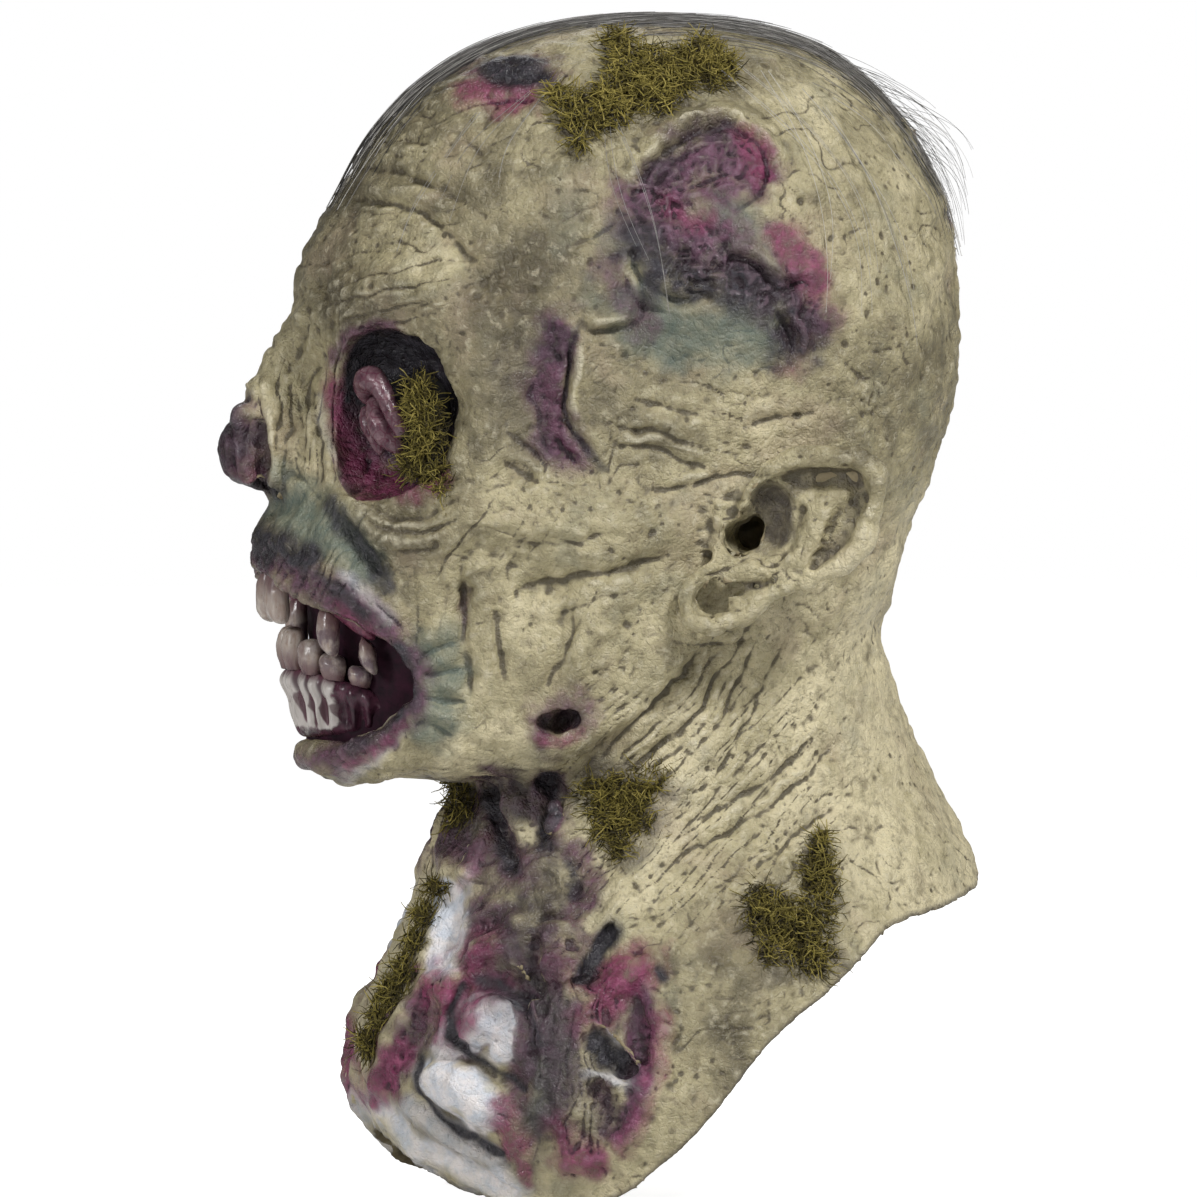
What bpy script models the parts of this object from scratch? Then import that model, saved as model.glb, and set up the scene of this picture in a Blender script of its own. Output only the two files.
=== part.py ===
"""An overhead latex mask of a rotting undead creature, as an assembly.

Metres, +Z up. The wearer faces -Y and the wearer's left is +X. The origin is midway between
the two ear canals. The skin is one cast latex shell with its ears, eye sockets, open mouth and
chest bib. Teeth in their gums, eye screens, shrivelled eye tissue, moss tufts and hair are set
into it or glued onto it.
"""

import math

import bmesh
import bpy
from mathutils import Matrix, Vector

# Driving dimensions
SKIN_THICKNESS = 0.0025
GLUE_GAP = 0.0007
SEAT_GAP = 0.0004
EAR_CANAL_RADIUS = 0.0048
TURNS_AROUND = 42
FRONT_CROWDING = 0.35
NECK_HEIGHT = -0.096

# The skin's outer form, one row for each height:
# height, where it is widest along Y, reach to the front, reach to the back, half width, squareness
SECTIONS = (
    (-0.2300, 0.000, 0.078, 0.100, 0.093, 2.2),
    (-0.2130, 0.000, 0.096, 0.102, 0.096, 2.2),
    (-0.2000, 0.000, 0.106, 0.102, 0.098, 2.2),
    (-0.1850, 0.000, 0.113, 0.102, 0.098, 2.2),
    (-0.165, 0.000, 0.111, 0.102, 0.095, 2.2),
    (-0.145, 0.000, 0.102, 0.102, 0.089, 2.2),
    (-0.125, 0.002, 0.095, 0.099, 0.080, 2.1),
    (-0.110, 0.004, 0.092, 0.094, 0.071, 2.0),
    (-0.0960, 0.004, 0.087, 0.087, 0.064, 2.0),
    (-0.0885, 0.004, 0.085, 0.082, 0.062, 2.0),
    (-0.0815, 0.000, 0.124, 0.083, 0.062, 2.0),
    (-0.0740, -0.002, 0.130, 0.080, 0.063, 2.0),
    (-0.0620, -0.002, 0.132, 0.076, 0.065, 2.0),
    (-0.0450, -0.002, 0.135, 0.070, 0.068, 2.0),
    (-0.0300, -0.002, 0.142, 0.071, 0.070, 2.0),
    (-0.0150, -0.002, 0.146, 0.073, 0.072, 2.1),
    (0.0000, 0.000, 0.146, 0.076, 0.075, 2.1),
    (0.0150, 0.002, 0.139, 0.079, 0.078, 2.2),
    (0.0350, 0.005, 0.135, 0.082, 0.081, 2.3),
    (0.0500, 0.007, 0.137, 0.082, 0.083, 2.3),
    (0.0700, 0.010, 0.143, 0.080, 0.084, 2.2),
    (0.0900, 0.009, 0.139, 0.081, 0.082, 2.1),
    (0.1100, 0.004, 0.123, 0.081, 0.078, 2.1),
    (0.1300, -0.004, 0.103, 0.079, 0.070, 2.0),
    (0.1450, -0.009, 0.084, 0.073, 0.059, 2.0),
    (0.1580, -0.012, 0.060, 0.060, 0.044, 2.0),
    (0.1660, -0.013, 0.036, 0.038, 0.027, 2.0),
    (0.1700, -0.013, 0.000, 0.000, 0.000, 2.0),
)

# The hem's height at each turn from the front (0) to the back (180 degrees)
HEM = (
    (0, -0.199),
    (14, -0.2080),
    (28, -0.2165),
    (46, -0.2238),
    (66, -0.2165),
    (80, -0.1955),
    (95, -0.165),
    (126, -0.130),
    (180, -0.116),
)

# Where the skin is pushed out or in: centre, spread along X, Y and Z, and push. All are mirrored.
RELIEFS = {
    "nose": ((0.000, -0.134, 0.025), (0.014, 0.030, 0.018), (0.000, -0.027, 0.0)),
    "nose_wing": ((0.012, -0.138, 0.012), (0.009, 0.014, 0.009), (0.003, -0.005, 0.0)),
    "brow": ((0.034, -0.120, 0.070), (0.026, 0.026, 0.010), (0.002, -0.006, 0.0)),
    "eye_socket": ((0.042, -0.110, 0.037), (0.021, 0.026, 0.022), (-0.010, 0.013, 0.0)),
    "cheekbone": ((0.060, -0.074, 0.010), (0.016, 0.022, 0.012), (0.005, -0.005, 0.0)),
    "sunken_cheek": ((0.062, -0.060, -0.035), (0.016, 0.024, 0.018), (-0.006, 0.003, 0.0)),
    "temple": ((0.080, -0.065, 0.070), (0.020, 0.022, 0.022), (-0.004, 0.002, 0.0)),
}

EYE = Vector((0.0405, -0.1030, 0.0370))
EYE_AXIS = Vector((0.64, -0.77, 0.0)).normalized()
EYE_HALF = (0.0165, 0.0200)
SCREEN_HALF = (0.0125, 0.0155)
SCREEN_DEPTH = 0.0040
MOUTH_CENTRE = Vector((0.0, -0.152, -0.0435))
MOUTH_HALF = Vector((0.052, 0.056, 0.0325))
MOUTH_SQUARENESS = 3.0

EAR_OUTLINE = (
    (0.001, 0.018),
    (0.013, 0.027),
    (0.029, 0.030),
    (0.043, 0.028),
    (0.046, 0.020),
    (0.043, 0.009),
    (0.039, -0.003),
    (0.032, -0.012),
    (0.019, -0.020),
    (0.006, -0.026),
    (-0.007, -0.030),
    (-0.017, -0.029),
    (-0.020, -0.022),
    (-0.016, -0.013),
    (-0.011, -0.004),
    (-0.006, 0.007),
)
EAR_CENTRE = (0.014, -0.001)
EAR_STANDOFF_FRONT = 0.005
EAR_STANDOFF_BACK = 0.019
EAR_EMBED = 0.0012

# Teeth: arch angle from the middle, crown width, depth, length and lean, all mirrored
UPPER_TEETH = (
    ("incisor", 12, 0.0110, 0.0085, 0.0165, 4),
    ("canine", 50, 0.0095, 0.0085, 0.0135, -4),
    ("molar", 69, 0.0085, 0.0080, 0.0085, -3),
)
LOWER_TEETH = (
    ("incisor", 10, 0.0085, 0.0080, 0.0132, -3),
    ("canine", 27, 0.0090, 0.0085, 0.0105, 3),
    ("premolar", 43, 0.0095, 0.0090, 0.0072, 0),
    ("molar", 58, 0.0085, 0.0085, 0.0052, 2),
)
UPPER_ARCH = {"centre_y": -0.0990, "half_x": 0.0365, "half_y": 0.0412, "height": -0.0090, "drop": 0.90}
LOWER_ARCH = {"centre_y": -0.0945, "half_x": 0.0305, "half_y": 0.0390, "height": -0.0575, "drop": 0.26}
UPPER_GUM_HALF = (0.0040, 0.0045)
LOWER_GUM_HALF = (0.0045, 0.0120)
LOWER_GUM_TAPER = 0.45
GUM_SWEEP = 72

# Moss tufts: centre along Y, centre height, half length, half width, tilt in degrees, thickness
MOSS = {
    "moss_crown_main": (-0.014, 0.149, 0.0210, 0.0090, -6, 0.0045),
    "moss_crown_front": (-0.050, 0.142, 0.0075, 0.0045, -30, 0.0030),
    "moss_crown_strip": (-0.046, 0.131, 0.0080, 0.0040, 8, 0.0030),
    "moss_jaw": (-0.034, -0.1040, 0.0130, 0.0130, 80, 0.0050),
    "moss_shoulder_lower": (0.018, -0.1310, 0.0150, 0.0110, 10, 0.0045),
    "moss_shoulder_upper": (0.027, -0.1080, 0.0105, 0.0050, 80, 0.0040),
}
FRONT_MOSS = {
    "moss_sternum": ((6, -0.118), (14, -0.178), 0.0055, 0.0040),
    "moss_throat": ((17, -0.0960), (17, -0.1080), 0.0050, 0.0035),
}
EYE_MOSS_ACROSS = 0.0095
EYE_MOSS_OUT = 0.0060
EYE_MOSS_HALF = (0.0045, 0.0060, 0.0125)

HAIR_THICKNESS = 0.0012
HAIR_TOP = 0.1690


def clear_scene():
    for obj in list(bpy.data.objects):
        bpy.data.objects.remove(obj)


def material(name, colour, roughness, metallic=0.0):
    made = bpy.data.materials.new(name)
    made.use_nodes = True
    shader = made.node_tree.nodes["Principled BSDF"]
    shader.inputs["Base Color"].default_value = (*colour, 1.0)
    shader.inputs["Roughness"].default_value = roughness
    shader.inputs["Metallic"].default_value = metallic
    made.diffuse_color = (*colour, 1.0)
    return made


def add_mesh(name, points, faces, surface=None):
    mesh = bpy.data.meshes.new(name)
    mesh.from_pydata([tuple(p) for p in points], [], faces)
    mesh.update()
    obj = bpy.data.objects.new(name, mesh)
    bpy.context.scene.collection.objects.link(obj)
    if surface is not None:
        mesh.materials.append(surface)
    return obj


def recalculate_normals(obj):
    work = bmesh.new()
    work.from_mesh(obj.data)
    bmesh.ops.recalc_face_normals(work, faces=work.faces)
    work.to_mesh(obj.data)
    work.free()


def shade_round(obj, angle=50):
    obj.data.shade_smooth()
    obj.data.set_sharp_from_angle(angle=math.radians(angle))


def monotone(rows, column, at):
    """A cubic through one column of a table, by its first column, that never overshoots."""
    keys = [row[0] for row in rows]
    values = [row[column] for row in rows]
    at = min(max(at, keys[0]), keys[-1])
    slopes = [
        (values[i + 1] - values[i]) / (keys[i + 1] - keys[i]) for i in range(len(rows) - 1)
    ]
    tangents = [slopes[0]]
    for before, after in zip(slopes, slopes[1:]):
        tangents.append(0.0 if before * after <= 0 else 2 * before * after / (before + after))
    tangents.append(slopes[-1])
    i = next((k for k in range(len(rows) - 1) if at <= keys[k + 1]), len(rows) - 2)
    step = keys[i + 1] - keys[i]
    s = (at - keys[i]) / step
    return (
        values[i] * (1 + 2 * s) * (1 - s) ** 2
        + tangents[i] * step * s * (1 - s) ** 2
        + values[i + 1] * s * s * (3 - 2 * s)
        + tangents[i + 1] * step * s * s * (s - 1)
    )


SQUARED_SECTIONS = tuple(
    (height, widest, front**2, back**2, half**2, square)
    for height, widest, front, back, half, square in SECTIONS
)


def section(height):
    """Widest point along Y, front reach, back reach, half width and squareness at a height."""
    widest, front, back, half, square = (
        monotone(SQUARED_SECTIONS, column, height) for column in range(1, 6)
    )
    return widest, *(math.sqrt(max(value, 0.0)) for value in (front, back, half)), square


def base_point(turn, height):
    """The form without its reliefs. Turn 0 is the front and a quarter turn the wearer's left."""
    widest, front, back, half, square = section(height)
    s, c = math.sin(turn), math.cos(turn)
    power = 2 / square
    x = math.copysign(half * abs(s) ** power, s)
    y = widest - math.copysign((front if c > 0 else back) * abs(c) ** power, c)
    return Vector((x, y, height))


def relief_at(point):
    total = Vector((0.0, 0.0, 0.0))
    for name, (centre, spread, push) in RELIEFS.items():
        for side in (1,) if name == "nose" else (1, -1):
            away = sum(
                ((point[i] - centre[i] * (side if i == 0 else 1)) / spread[i]) ** 2
                for i in range(3)
            )
            strength = math.exp(-away)
            total += Vector((push[0] * side, push[1], push[2])) * strength
    return total


def skin_point(turn, height):
    point = base_point(turn, height)
    return point + relief_at(point)


def skin_normal(turn, height):
    step = 0.01
    across = skin_point(turn + step, height) - skin_point(turn - step, height)
    along = skin_point(turn, height + 0.0008) - skin_point(turn, height - 0.0008)
    return across.cross(along).normalized()


def turn_at(y, height, side):
    """The turn where the form passes through this Y at this height, on one side."""
    widest, front, back, _, square = section(height)
    reach = front if y < widest else back
    share = min(abs(y - widest) / reach, 1.0)
    c = math.copysign(share ** (square / 2), widest - y)
    return side * math.acos(c)


def grid_faces(rows, columns, wrap):
    faces = []
    for i in range(rows - 1):
        for j in range(columns if wrap else columns - 1):
            k = (j + 1) % columns
            faces.append(
                (i * columns + j, i * columns + k, (i + 1) * columns + k, (i + 1) * columns + j)
            )
    return faces


def hem_height(turn):
    return monotone(HEM, 1, abs(math.degrees(turn)))


def crowded_turns():
    """Turns around the form, closer together at the face, from -180 to 180 degrees."""
    turns = []
    for j in range(TURNS_AROUND):
        even = -math.pi + 2 * math.pi * j / TURNS_AROUND
        turns.append(even - FRONT_CROWDING * math.sin(even))
    return turns


def skin_heights():
    """Heights of the level rows above the neck, closer together at the jaw and the crown."""
    jaw = [NECK_HEIGHT, -0.0905, -0.0865, -0.0835, -0.0800]
    face = [-0.073 + 0.0115 * i for i in range(16)]
    crown = [0.105 + 0.065 * math.sin(math.radians(90 * i / 9)) for i in range(1, 9)]
    return jaw + face + crown


def build_skin(surface):
    turns = crowded_turns()
    points = []
    fanned_rows = 7
    for i in range(fanned_rows):
        for turn in turns:
            hem = hem_height(turn)
            points.append(skin_point(turn, hem + (NECK_HEIGHT - hem) * i / fanned_rows))
    heights = skin_heights()
    for height in heights:
        points += [skin_point(turn, height) for turn in turns]
    rows = fanned_rows + len(heights)
    faces = grid_faces(rows, TURNS_AROUND, wrap=True)
    points.append(Vector((0.0, SECTIONS[-1][1], SECTIONS[-1][0])))
    last_row = (rows - 1) * TURNS_AROUND
    for j in range(TURNS_AROUND):
        faces.append((last_row + j, last_row + (j + 1) % TURNS_AROUND, len(points) - 1))
    skin = add_mesh("latex_skin", points, faces, surface)
    recalculate_normals(skin)
    shell = skin.modifiers.new("wall", "SOLIDIFY")
    shell.thickness = SKIN_THICKNESS
    shell.offset = -1.0
    shell.use_rim = True
    for side, word in ((1, "left"), (-1, "right")):
        join(skin, ear_solid(side, word), "UNION")
    for side, word in ((1, "left"), (-1, "right")):
        join(skin, concha_cutter(side, word), "DIFFERENCE")
        join(skin, canal_cutter(side, word), "DIFFERENCE")
        join(skin, eye_cutter(side, word), "DIFFERENCE")
    join(skin, mouth_cutter(), "DIFFERENCE")
    shade_round(skin)
    return skin


def join(target, tool, operation):
    """Adds a Boolean with a tool object that isn't rendered.

    EXACT loses most of this shell, whose walls run close together under the jaw, so it is MANIFOLD.
    """
    tool.hide_render = True
    tool.display_type = "WIRE"
    cut = target.modifiers.new(tool.name, "BOOLEAN")
    cut.object = tool
    cut.operation = operation
    cut.solver = "MANIFOLD"


def ear_solid(side, word):
    """An outline that stands off the head more towards the back, with a rounded rim."""
    centre_y, centre_z = EAR_CENTRE
    low_y = min(y for y, _ in EAR_OUTLINE)
    high_y = max(y for y, _ in EAR_OUTLINE)

    def place(y, z, scale, share):
        y_at = centre_y + (y - centre_y) * scale
        z_at = centre_z + (z - centre_z) * scale
        ground = skin_point(turn_at(y_at, z_at, 1), z_at).x - EAR_EMBED
        slope = (y_at - low_y) / (high_y - low_y)
        reach = EAR_STANDOFF_FRONT + (EAR_STANDOFF_BACK - EAR_STANDOFF_FRONT) * slope
        return Vector((side * (ground + (reach + EAR_EMBED) * share), y_at, z_at))

    count = len(EAR_OUTLINE)
    levels = ((0.33, 0.0), (0.66, 0.0), (0.80, 0.45), (1.0, 0.80), (0.93, 1.0), (0.45, 0.86))
    points = [place(y, z, scale, share) for scale, share in levels for y, z in EAR_OUTLINE]
    faces = grid_faces(len(levels), count, wrap=True)
    for start, share in ((0, 0.0), ((len(levels) - 1) * count, 0.80)):
        points.append(place(*EAR_CENTRE, 1.0, share))
        for j in range(count):
            faces.append((start + j, start + (j + 1) % count, len(points) - 1))
    ear = add_mesh(f"{word}_ear_solid", points, faces)
    recalculate_normals(ear)
    return ear


def ellipsoid(name, centre, half, rotation=None, surface=None, segments=14, rings=8):
    work = bmesh.new()
    bmesh.ops.create_uvsphere(work, u_segments=segments, v_segments=rings, radius=1.0)
    shape = Matrix.Diagonal((*half, 1.0))
    turned = rotation if rotation is not None else Matrix.Identity(4)
    bmesh.ops.transform(work, matrix=Matrix.Translation(centre) @ turned @ shape, verts=work.verts)
    mesh = bpy.data.meshes.new(name)
    work.to_mesh(mesh)
    work.free()
    obj = bpy.data.objects.new(name, mesh)
    bpy.context.scene.collection.objects.link(obj)
    if surface is not None:
        mesh.materials.append(surface)
    return obj


def concha_cutter(side, word):
    tilt = Matrix.Rotation(math.radians(-38), 4, "X")
    flare = Matrix.Rotation(math.radians(-16 * side), 4, "Z")
    centre = Vector((side * 0.0985, 0.018, 0.003))
    return ellipsoid(f"{word}_concha_cutter", centre, (0.0105, 0.014, 0.021), flare @ tilt)


def cylinder(name, centre, axis, radii, depth, segments=20):
    work = bmesh.new()
    bmesh.ops.create_cone(
        work, cap_ends=True, segments=segments, radius1=1.0, radius2=1.0, depth=1.0
    )
    turned = axis.to_track_quat("Z", "Y").to_matrix().to_4x4()
    shape = Matrix.Diagonal((radii[0], radii[1], depth, 1.0))
    bmesh.ops.transform(work, matrix=Matrix.Translation(centre) @ turned @ shape, verts=work.verts)
    mesh = bpy.data.meshes.new(name)
    work.to_mesh(mesh)
    work.free()
    obj = bpy.data.objects.new(name, mesh)
    bpy.context.scene.collection.objects.link(obj)
    return obj


def canal_cutter(side, word):
    centre = Vector((side * 0.078, -0.001, 0.000))
    radii = (EAR_CANAL_RADIUS, EAR_CANAL_RADIUS)
    return cylinder(f"{word}_canal_cutter", centre, Vector((1, 0, 0)), radii, 0.050, segments=10)


def mirrored(vector, side):
    return Vector((vector.x * side, vector.y, vector.z))


def eye_cutter(side, word):
    return cylinder(
        f"{word}_eye_cutter", mirrored(EYE, side), mirrored(EYE_AXIS, side), EYE_HALF, 0.060
    )


def mouth_cutter():
    """An ellipsoid blown out towards a box."""
    cutter = ellipsoid("mouth_cutter", Vector((0, 0, 0)), (1, 1, 1), segments=20, rings=12)
    power = MOUTH_SQUARENESS
    for vertex in cutter.data.vertices:
        reach = sum(abs(c) ** power for c in vertex.co) ** (1 / power)
        vertex.co = MOUTH_CENTRE + Vector([MOUTH_HALF[i] * vertex.co[i] / reach for i in range(3)])
    return cutter


def eye_screen(side, word, surface):
    """Black see-through gauze across the back of the socket, curved a little."""
    axis = mirrored(EYE_AXIS, side)
    across = Vector((0, 0, 1)).cross(axis).normalized()
    centre = mirrored(EYE, side) - axis * SCREEN_DEPTH
    points = []
    rows, columns = 5, 5
    for depth in (0.0, 0.0008):
        for i in range(rows):
            for j in range(columns):
                a, b = -1 + 2 * j / (columns - 1), -1 + 2 * i / (rows - 1)
                bow = 0.003 * (a * a + b * b)
                points.append(
                    centre
                    + across * (a * SCREEN_HALF[0])
                    + Vector((0, 0, b * SCREEN_HALF[1]))
                    - axis * (bow + depth)
                )
    faces = grid_faces(rows, columns, wrap=False)
    sheet = rows * columns
    faces += [tuple(sheet + k for k in face) for face in faces]
    border = (
        [j for j in range(columns)]
        + [i * columns + columns - 1 for i in range(1, rows)]
        + [(rows - 1) * columns + j for j in range(columns - 2, -1, -1)]
        + [i * columns for i in range(rows - 2, 0, -1)]
    )
    for k, here in enumerate(border):
        after = border[(k + 1) % len(border)]
        faces.append((here, after, sheet + after, sheet + here))
    screen = add_mesh(f"{word}_eye_screen", points, faces, surface)
    recalculate_normals(screen)
    return screen


def tube(name, route, radius, surface, sides=2):
    """A round strand along a smooth route."""
    curve = bpy.data.curves.new(name, "CURVE")
    curve.dimensions = "3D"
    curve.bevel_depth = radius
    curve.bevel_resolution = sides
    curve.use_fill_caps = True
    spline = curve.splines.new("POLY")
    spline.points.add(len(route) - 1)
    for point, place in zip(spline.points, route):
        point.co = (*place, 1.0)
    curve.materials.append(surface)
    obj = bpy.data.objects.new(name, curve)
    bpy.context.scene.collection.objects.link(obj)
    return obj


def eye_tissue(side, word, surface):
    """What is left of the eye: a hooked strand in front of the screen."""
    axis = mirrored(EYE_AXIS, side)
    across = Vector((0, 0, 1)).cross(axis).normalized() * side
    centre = mirrored(EYE, side) + axis * 0.0055
    route = []
    for i in range(15):
        angle = math.radians(-60 + 290 * i / 14)
        reach = 0.0085 - 0.0025 * i / 14
        place = centre + across * (math.sin(angle) * reach * 0.75 - 0.002)
        route.append(place + Vector((0, 0, math.cos(angle) * reach + 0.001)))
    return tube(f"{word}_eye_tissue", route, 0.0017, surface)


def eye_moss(surface):
    """The tuft stuffed into the outer half of the left socket."""
    across = Vector((0, 0, 1)).cross(EYE_AXIS).normalized()
    centre = EYE + across * EYE_MOSS_ACROSS + EYE_AXIS * EYE_MOSS_OUT
    turned = across.to_track_quat("X", "Z").to_matrix().to_4x4()
    return ellipsoid("moss_eye", centre, EYE_MOSS_HALF, turned, surface, segments=10, rings=6)


def arch_point(arch, angle):
    """A point on a dental arch's middle line. Angle 0 is the front, in degrees."""
    turn = math.radians(angle)
    x = arch["half_x"] * math.sin(turn)
    y = arch["centre_y"] - arch["half_y"] * math.cos(turn)
    back = y - (arch["centre_y"] - arch["half_y"])
    return Vector((x, y, arch["height"] - arch["drop"] * back))


def gum(name, arch, half, taper, surface):
    """A horseshoe bar with a rounded section along its arch. Taper draws its foot up at the ends."""
    stations, sides = 15, 10
    points = []
    for i in range(stations):
        share = -1 + 2 * i / (stations - 1)
        angle = GUM_SWEEP * share
        centre = arch_point(arch, angle)
        ahead = arch_point(arch, angle + 1) - arch_point(arch, angle - 1)
        outward = ahead.cross(Vector((0, 0, 1))).normalized()
        foot = half[1] * (1 - 2 * taper * share * share)
        for j in range(sides):
            around = 2 * math.pi * j / sides
            rise = (half[1] if math.sin(around) > 0 else foot) * math.sin(around)
            side = half[0] * math.cos(around)
            points.append(centre + outward * side + Vector((0, 0, rise)))
    faces = grid_faces(stations, sides, wrap=True)
    faces.append(tuple(range(sides)))
    faces.append(tuple(range((stations - 1) * sides, stations * sides)))
    bar = add_mesh(name, points, faces, surface)
    recalculate_normals(bar)
    shade_round(bar, 70)
    return bar


def tooth(name, arch, half_gum, angle, size, lean, direction, surface):
    """A peg with a flat root face on its gum and a rounded crown. Direction is +1 for up."""
    width, depth, length = size
    root = arch_point(arch, angle)
    root.z += direction * (half_gum[1] + SEAT_GAP)
    ahead = (arch_point(arch, angle + 1) - arch_point(arch, angle - 1)).normalized()
    outward = ahead.cross(Vector((0, 0, 1))).normalized()
    rise = Vector((0, 0, direction))
    rise = (rise + ahead * math.tan(math.radians(lean))).normalized()
    rows = ((0.0, 0.78), (0.25, 0.94), (0.60, 1.0), (0.85, 0.80), (0.97, 0.45))
    sides = 10
    points = []
    for share, swell in rows:
        for j in range(sides):
            around = 2 * math.pi * j / sides
            points.append(
                root
                + rise * length * share
                + ahead * (width / 2 * swell * math.cos(around))
                + outward * (depth / 2 * swell * math.sin(around))
            )
    faces = grid_faces(len(rows), sides, wrap=True)
    faces.append(tuple(range(sides)))
    points.append(root + rise * length)
    top = (len(rows) - 1) * sides
    for j in range(sides):
        faces.append((top + j, top + (j + 1) % sides, len(points) - 1))
    peg = add_mesh(name, points, faces, surface)
    recalculate_normals(peg)
    shade_round(peg, 60)
    return peg


def build_mouth(gum_surface, bone_surface, tooth_surface):
    gum("upper_gum", UPPER_ARCH, UPPER_GUM_HALF, 0.0, gum_surface)
    gum("lower_gum", LOWER_ARCH, LOWER_GUM_HALF, LOWER_GUM_TAPER, bone_surface)
    jaws = (
        ("upper", UPPER_TEETH, UPPER_ARCH, UPPER_GUM_HALF, -1),
        ("lower", LOWER_TEETH, LOWER_ARCH, LOWER_GUM_HALF, 1),
    )
    for jaw, teeth, arch, half_gum, direction in jaws:
        for side, word in ((1, "left"), (-1, "right")):
            for kind, angle, width, depth, length, lean in teeth:
                tooth(
                    f"{jaw}_{word}_{kind}",
                    arch,
                    half_gum,
                    side * angle,
                    (width, depth, length),
                    side * lean,
                    direction,
                    tooth_surface,
                )


def lifted(turn, height, lift):
    return skin_point(turn, height) + skin_normal(turn, height) * lift


def closed_pad(name, places, rows, columns, lifts, surface):
    """A sheet that follows the skin. Places are rows of (turn, height)."""
    points = [lifted(turn, height, lift) for lift in lifts for turn, height in places]
    faces = grid_faces(rows, columns, wrap=False)
    sheet = rows * columns
    faces += [tuple(sheet + k for k in face) for face in faces]
    border = (
        list(range(columns))
        + [i * columns + columns - 1 for i in range(1, rows)]
        + [(rows - 1) * columns + j for j in range(columns - 2, -1, -1)]
        + [i * columns for i in range(rows - 2, 0, -1)]
    )
    for k, here in enumerate(border):
        after = border[(k + 1) % len(border)]
        faces.append((here, after, sheet + after, sheet + here))
    pad = add_mesh(name, points, faces, surface)
    recalculate_normals(pad)
    return pad


def side_moss(name, centre_y, centre_z, half_long, half_short, tilt, thickness, surface):
    """A round tuft on the wearer's left, laid out on the side view."""
    segments, rings = 12, 2
    c, s = math.cos(math.radians(tilt)), math.sin(math.radians(tilt))
    places = [(centre_y, centre_z)]
    for ring in range(1, rings + 1):
        for j in range(segments):
            around = 2 * math.pi * j / segments
            a = half_long * ring / rings * math.cos(around)
            b = half_short * ring / rings * math.sin(around)
            places.append((centre_y + a * c - b * s, centre_z + a * s + b * c))
    points = []
    for lift in (0.0, 1.0):
        for k, (y, z) in enumerate(places):
            rim = k > segments
            height = GLUE_GAP + lift * thickness * (0.45 if rim else 1.0)
            points.append(lifted(turn_at(y, z, 1), z, height))
    faces = []
    count = len(places)
    for base in (0, count):
        for j in range(segments):
            k = (j + 1) % segments
            faces.append((base, base + 1 + j, base + 1 + k))
            inner, outer = base + 1, base + 1 + segments
            faces.append((inner + j, outer + j, outer + k, inner + k))
    rim = 1 + segments
    for j in range(segments):
        k = (j + 1) % segments
        faces.append((rim + j, rim + k, count + rim + k, count + rim + j))
    tuft = add_mesh(name, points, faces, surface)
    recalculate_normals(tuft)
    return tuft


def front_moss(name, start, end, half_width, thickness, surface):
    """A strip down the chest between two (turn in degrees, height) places."""
    rows, columns = 9, 3
    places = []
    for i in range(rows):
        share = i / (rows - 1)
        turn = math.radians(start[0] + (end[0] - start[0]) * share)
        height = start[1] + (end[1] - start[1]) * share
        across = half_width / section(height)[3]
        places += [(turn + across * (j - 1), height) for j in range(columns)]
    return closed_pad(name, places, rows, columns, (GLUE_GAP, GLUE_GAP + thickness), surface)


def hair_fall(name, side, surface):
    """The thin layer of hair that lies over the crown from the root line at the midline."""
    rows, columns = 12, 4
    places = []
    for i in range(rows):
        height = 0.118 + (HAIR_TOP - 0.118) * math.sin(math.radians(90 * i / (rows - 1)))
        for j in range(columns):
            turn = math.radians(178 - 20 * j / (columns - 1))
            places.append((side * turn, height))
    lifts = (GLUE_GAP, GLUE_GAP + HAIR_THICKNESS)
    return closed_pad(name, places, rows, columns, lifts, surface)


def front_hair(name, side, surface):
    rows, columns = 10, 4
    places = []
    for i in range(rows):
        height = 0.098 + (HAIR_TOP - 0.098) * math.sin(math.radians(90 * i / (rows - 1)))
        for j in range(columns):
            turn = math.radians(2 + 12 * j / (columns - 1))
            places.append((side * turn, height))
    lifts = (GLUE_GAP, GLUE_GAP + HAIR_THICKNESS)
    return closed_pad(name, places, rows, columns, lifts, surface)


def stray_lock(surface):
    """A thin lock that stands away from the back of the crown."""
    start = lifted(math.radians(164), 0.134, 0.004)
    route = []
    for i in range(12):
        share = i / 11
        route.append(start + Vector((0.0, 0.025 * share**0.85, -0.042 * share**1.15)))
    return tube("hair_stray_lock", route, 0.0012, surface)


def main():
    clear_scene()
    latex = material("latex", (0.42, 0.37, 0.24), 0.55)
    gauze = material("gauze", (0.01, 0.01, 0.01), 0.9)
    flesh = material("flesh", (0.22, 0.05, 0.08), 0.4)
    bone = material("bone", (0.38, 0.35, 0.34), 0.45)
    enamel = material("enamel", (0.50, 0.44, 0.36), 0.35)
    moss = material("moss", (0.13, 0.12, 0.03), 0.95)
    hair = material("hair", (0.20, 0.19, 0.18), 0.6)
    build_skin(latex)
    for side, word in ((1, "left"), (-1, "right")):
        eye_screen(side, word, gauze)
        eye_tissue(side, word, flesh)
        hair_fall(f"hair_back_{word}", side, hair)
        front_hair(f"hair_front_{word}", side, hair)
    build_mouth(flesh, bone, enamel)
    for name, sizes in MOSS.items():
        side_moss(name, *sizes, moss)
    for name, sizes in FRONT_MOSS.items():
        front_moss(name, *sizes, moss)
    eye_moss(moss)
    stray_lock(hair)


main()
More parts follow.
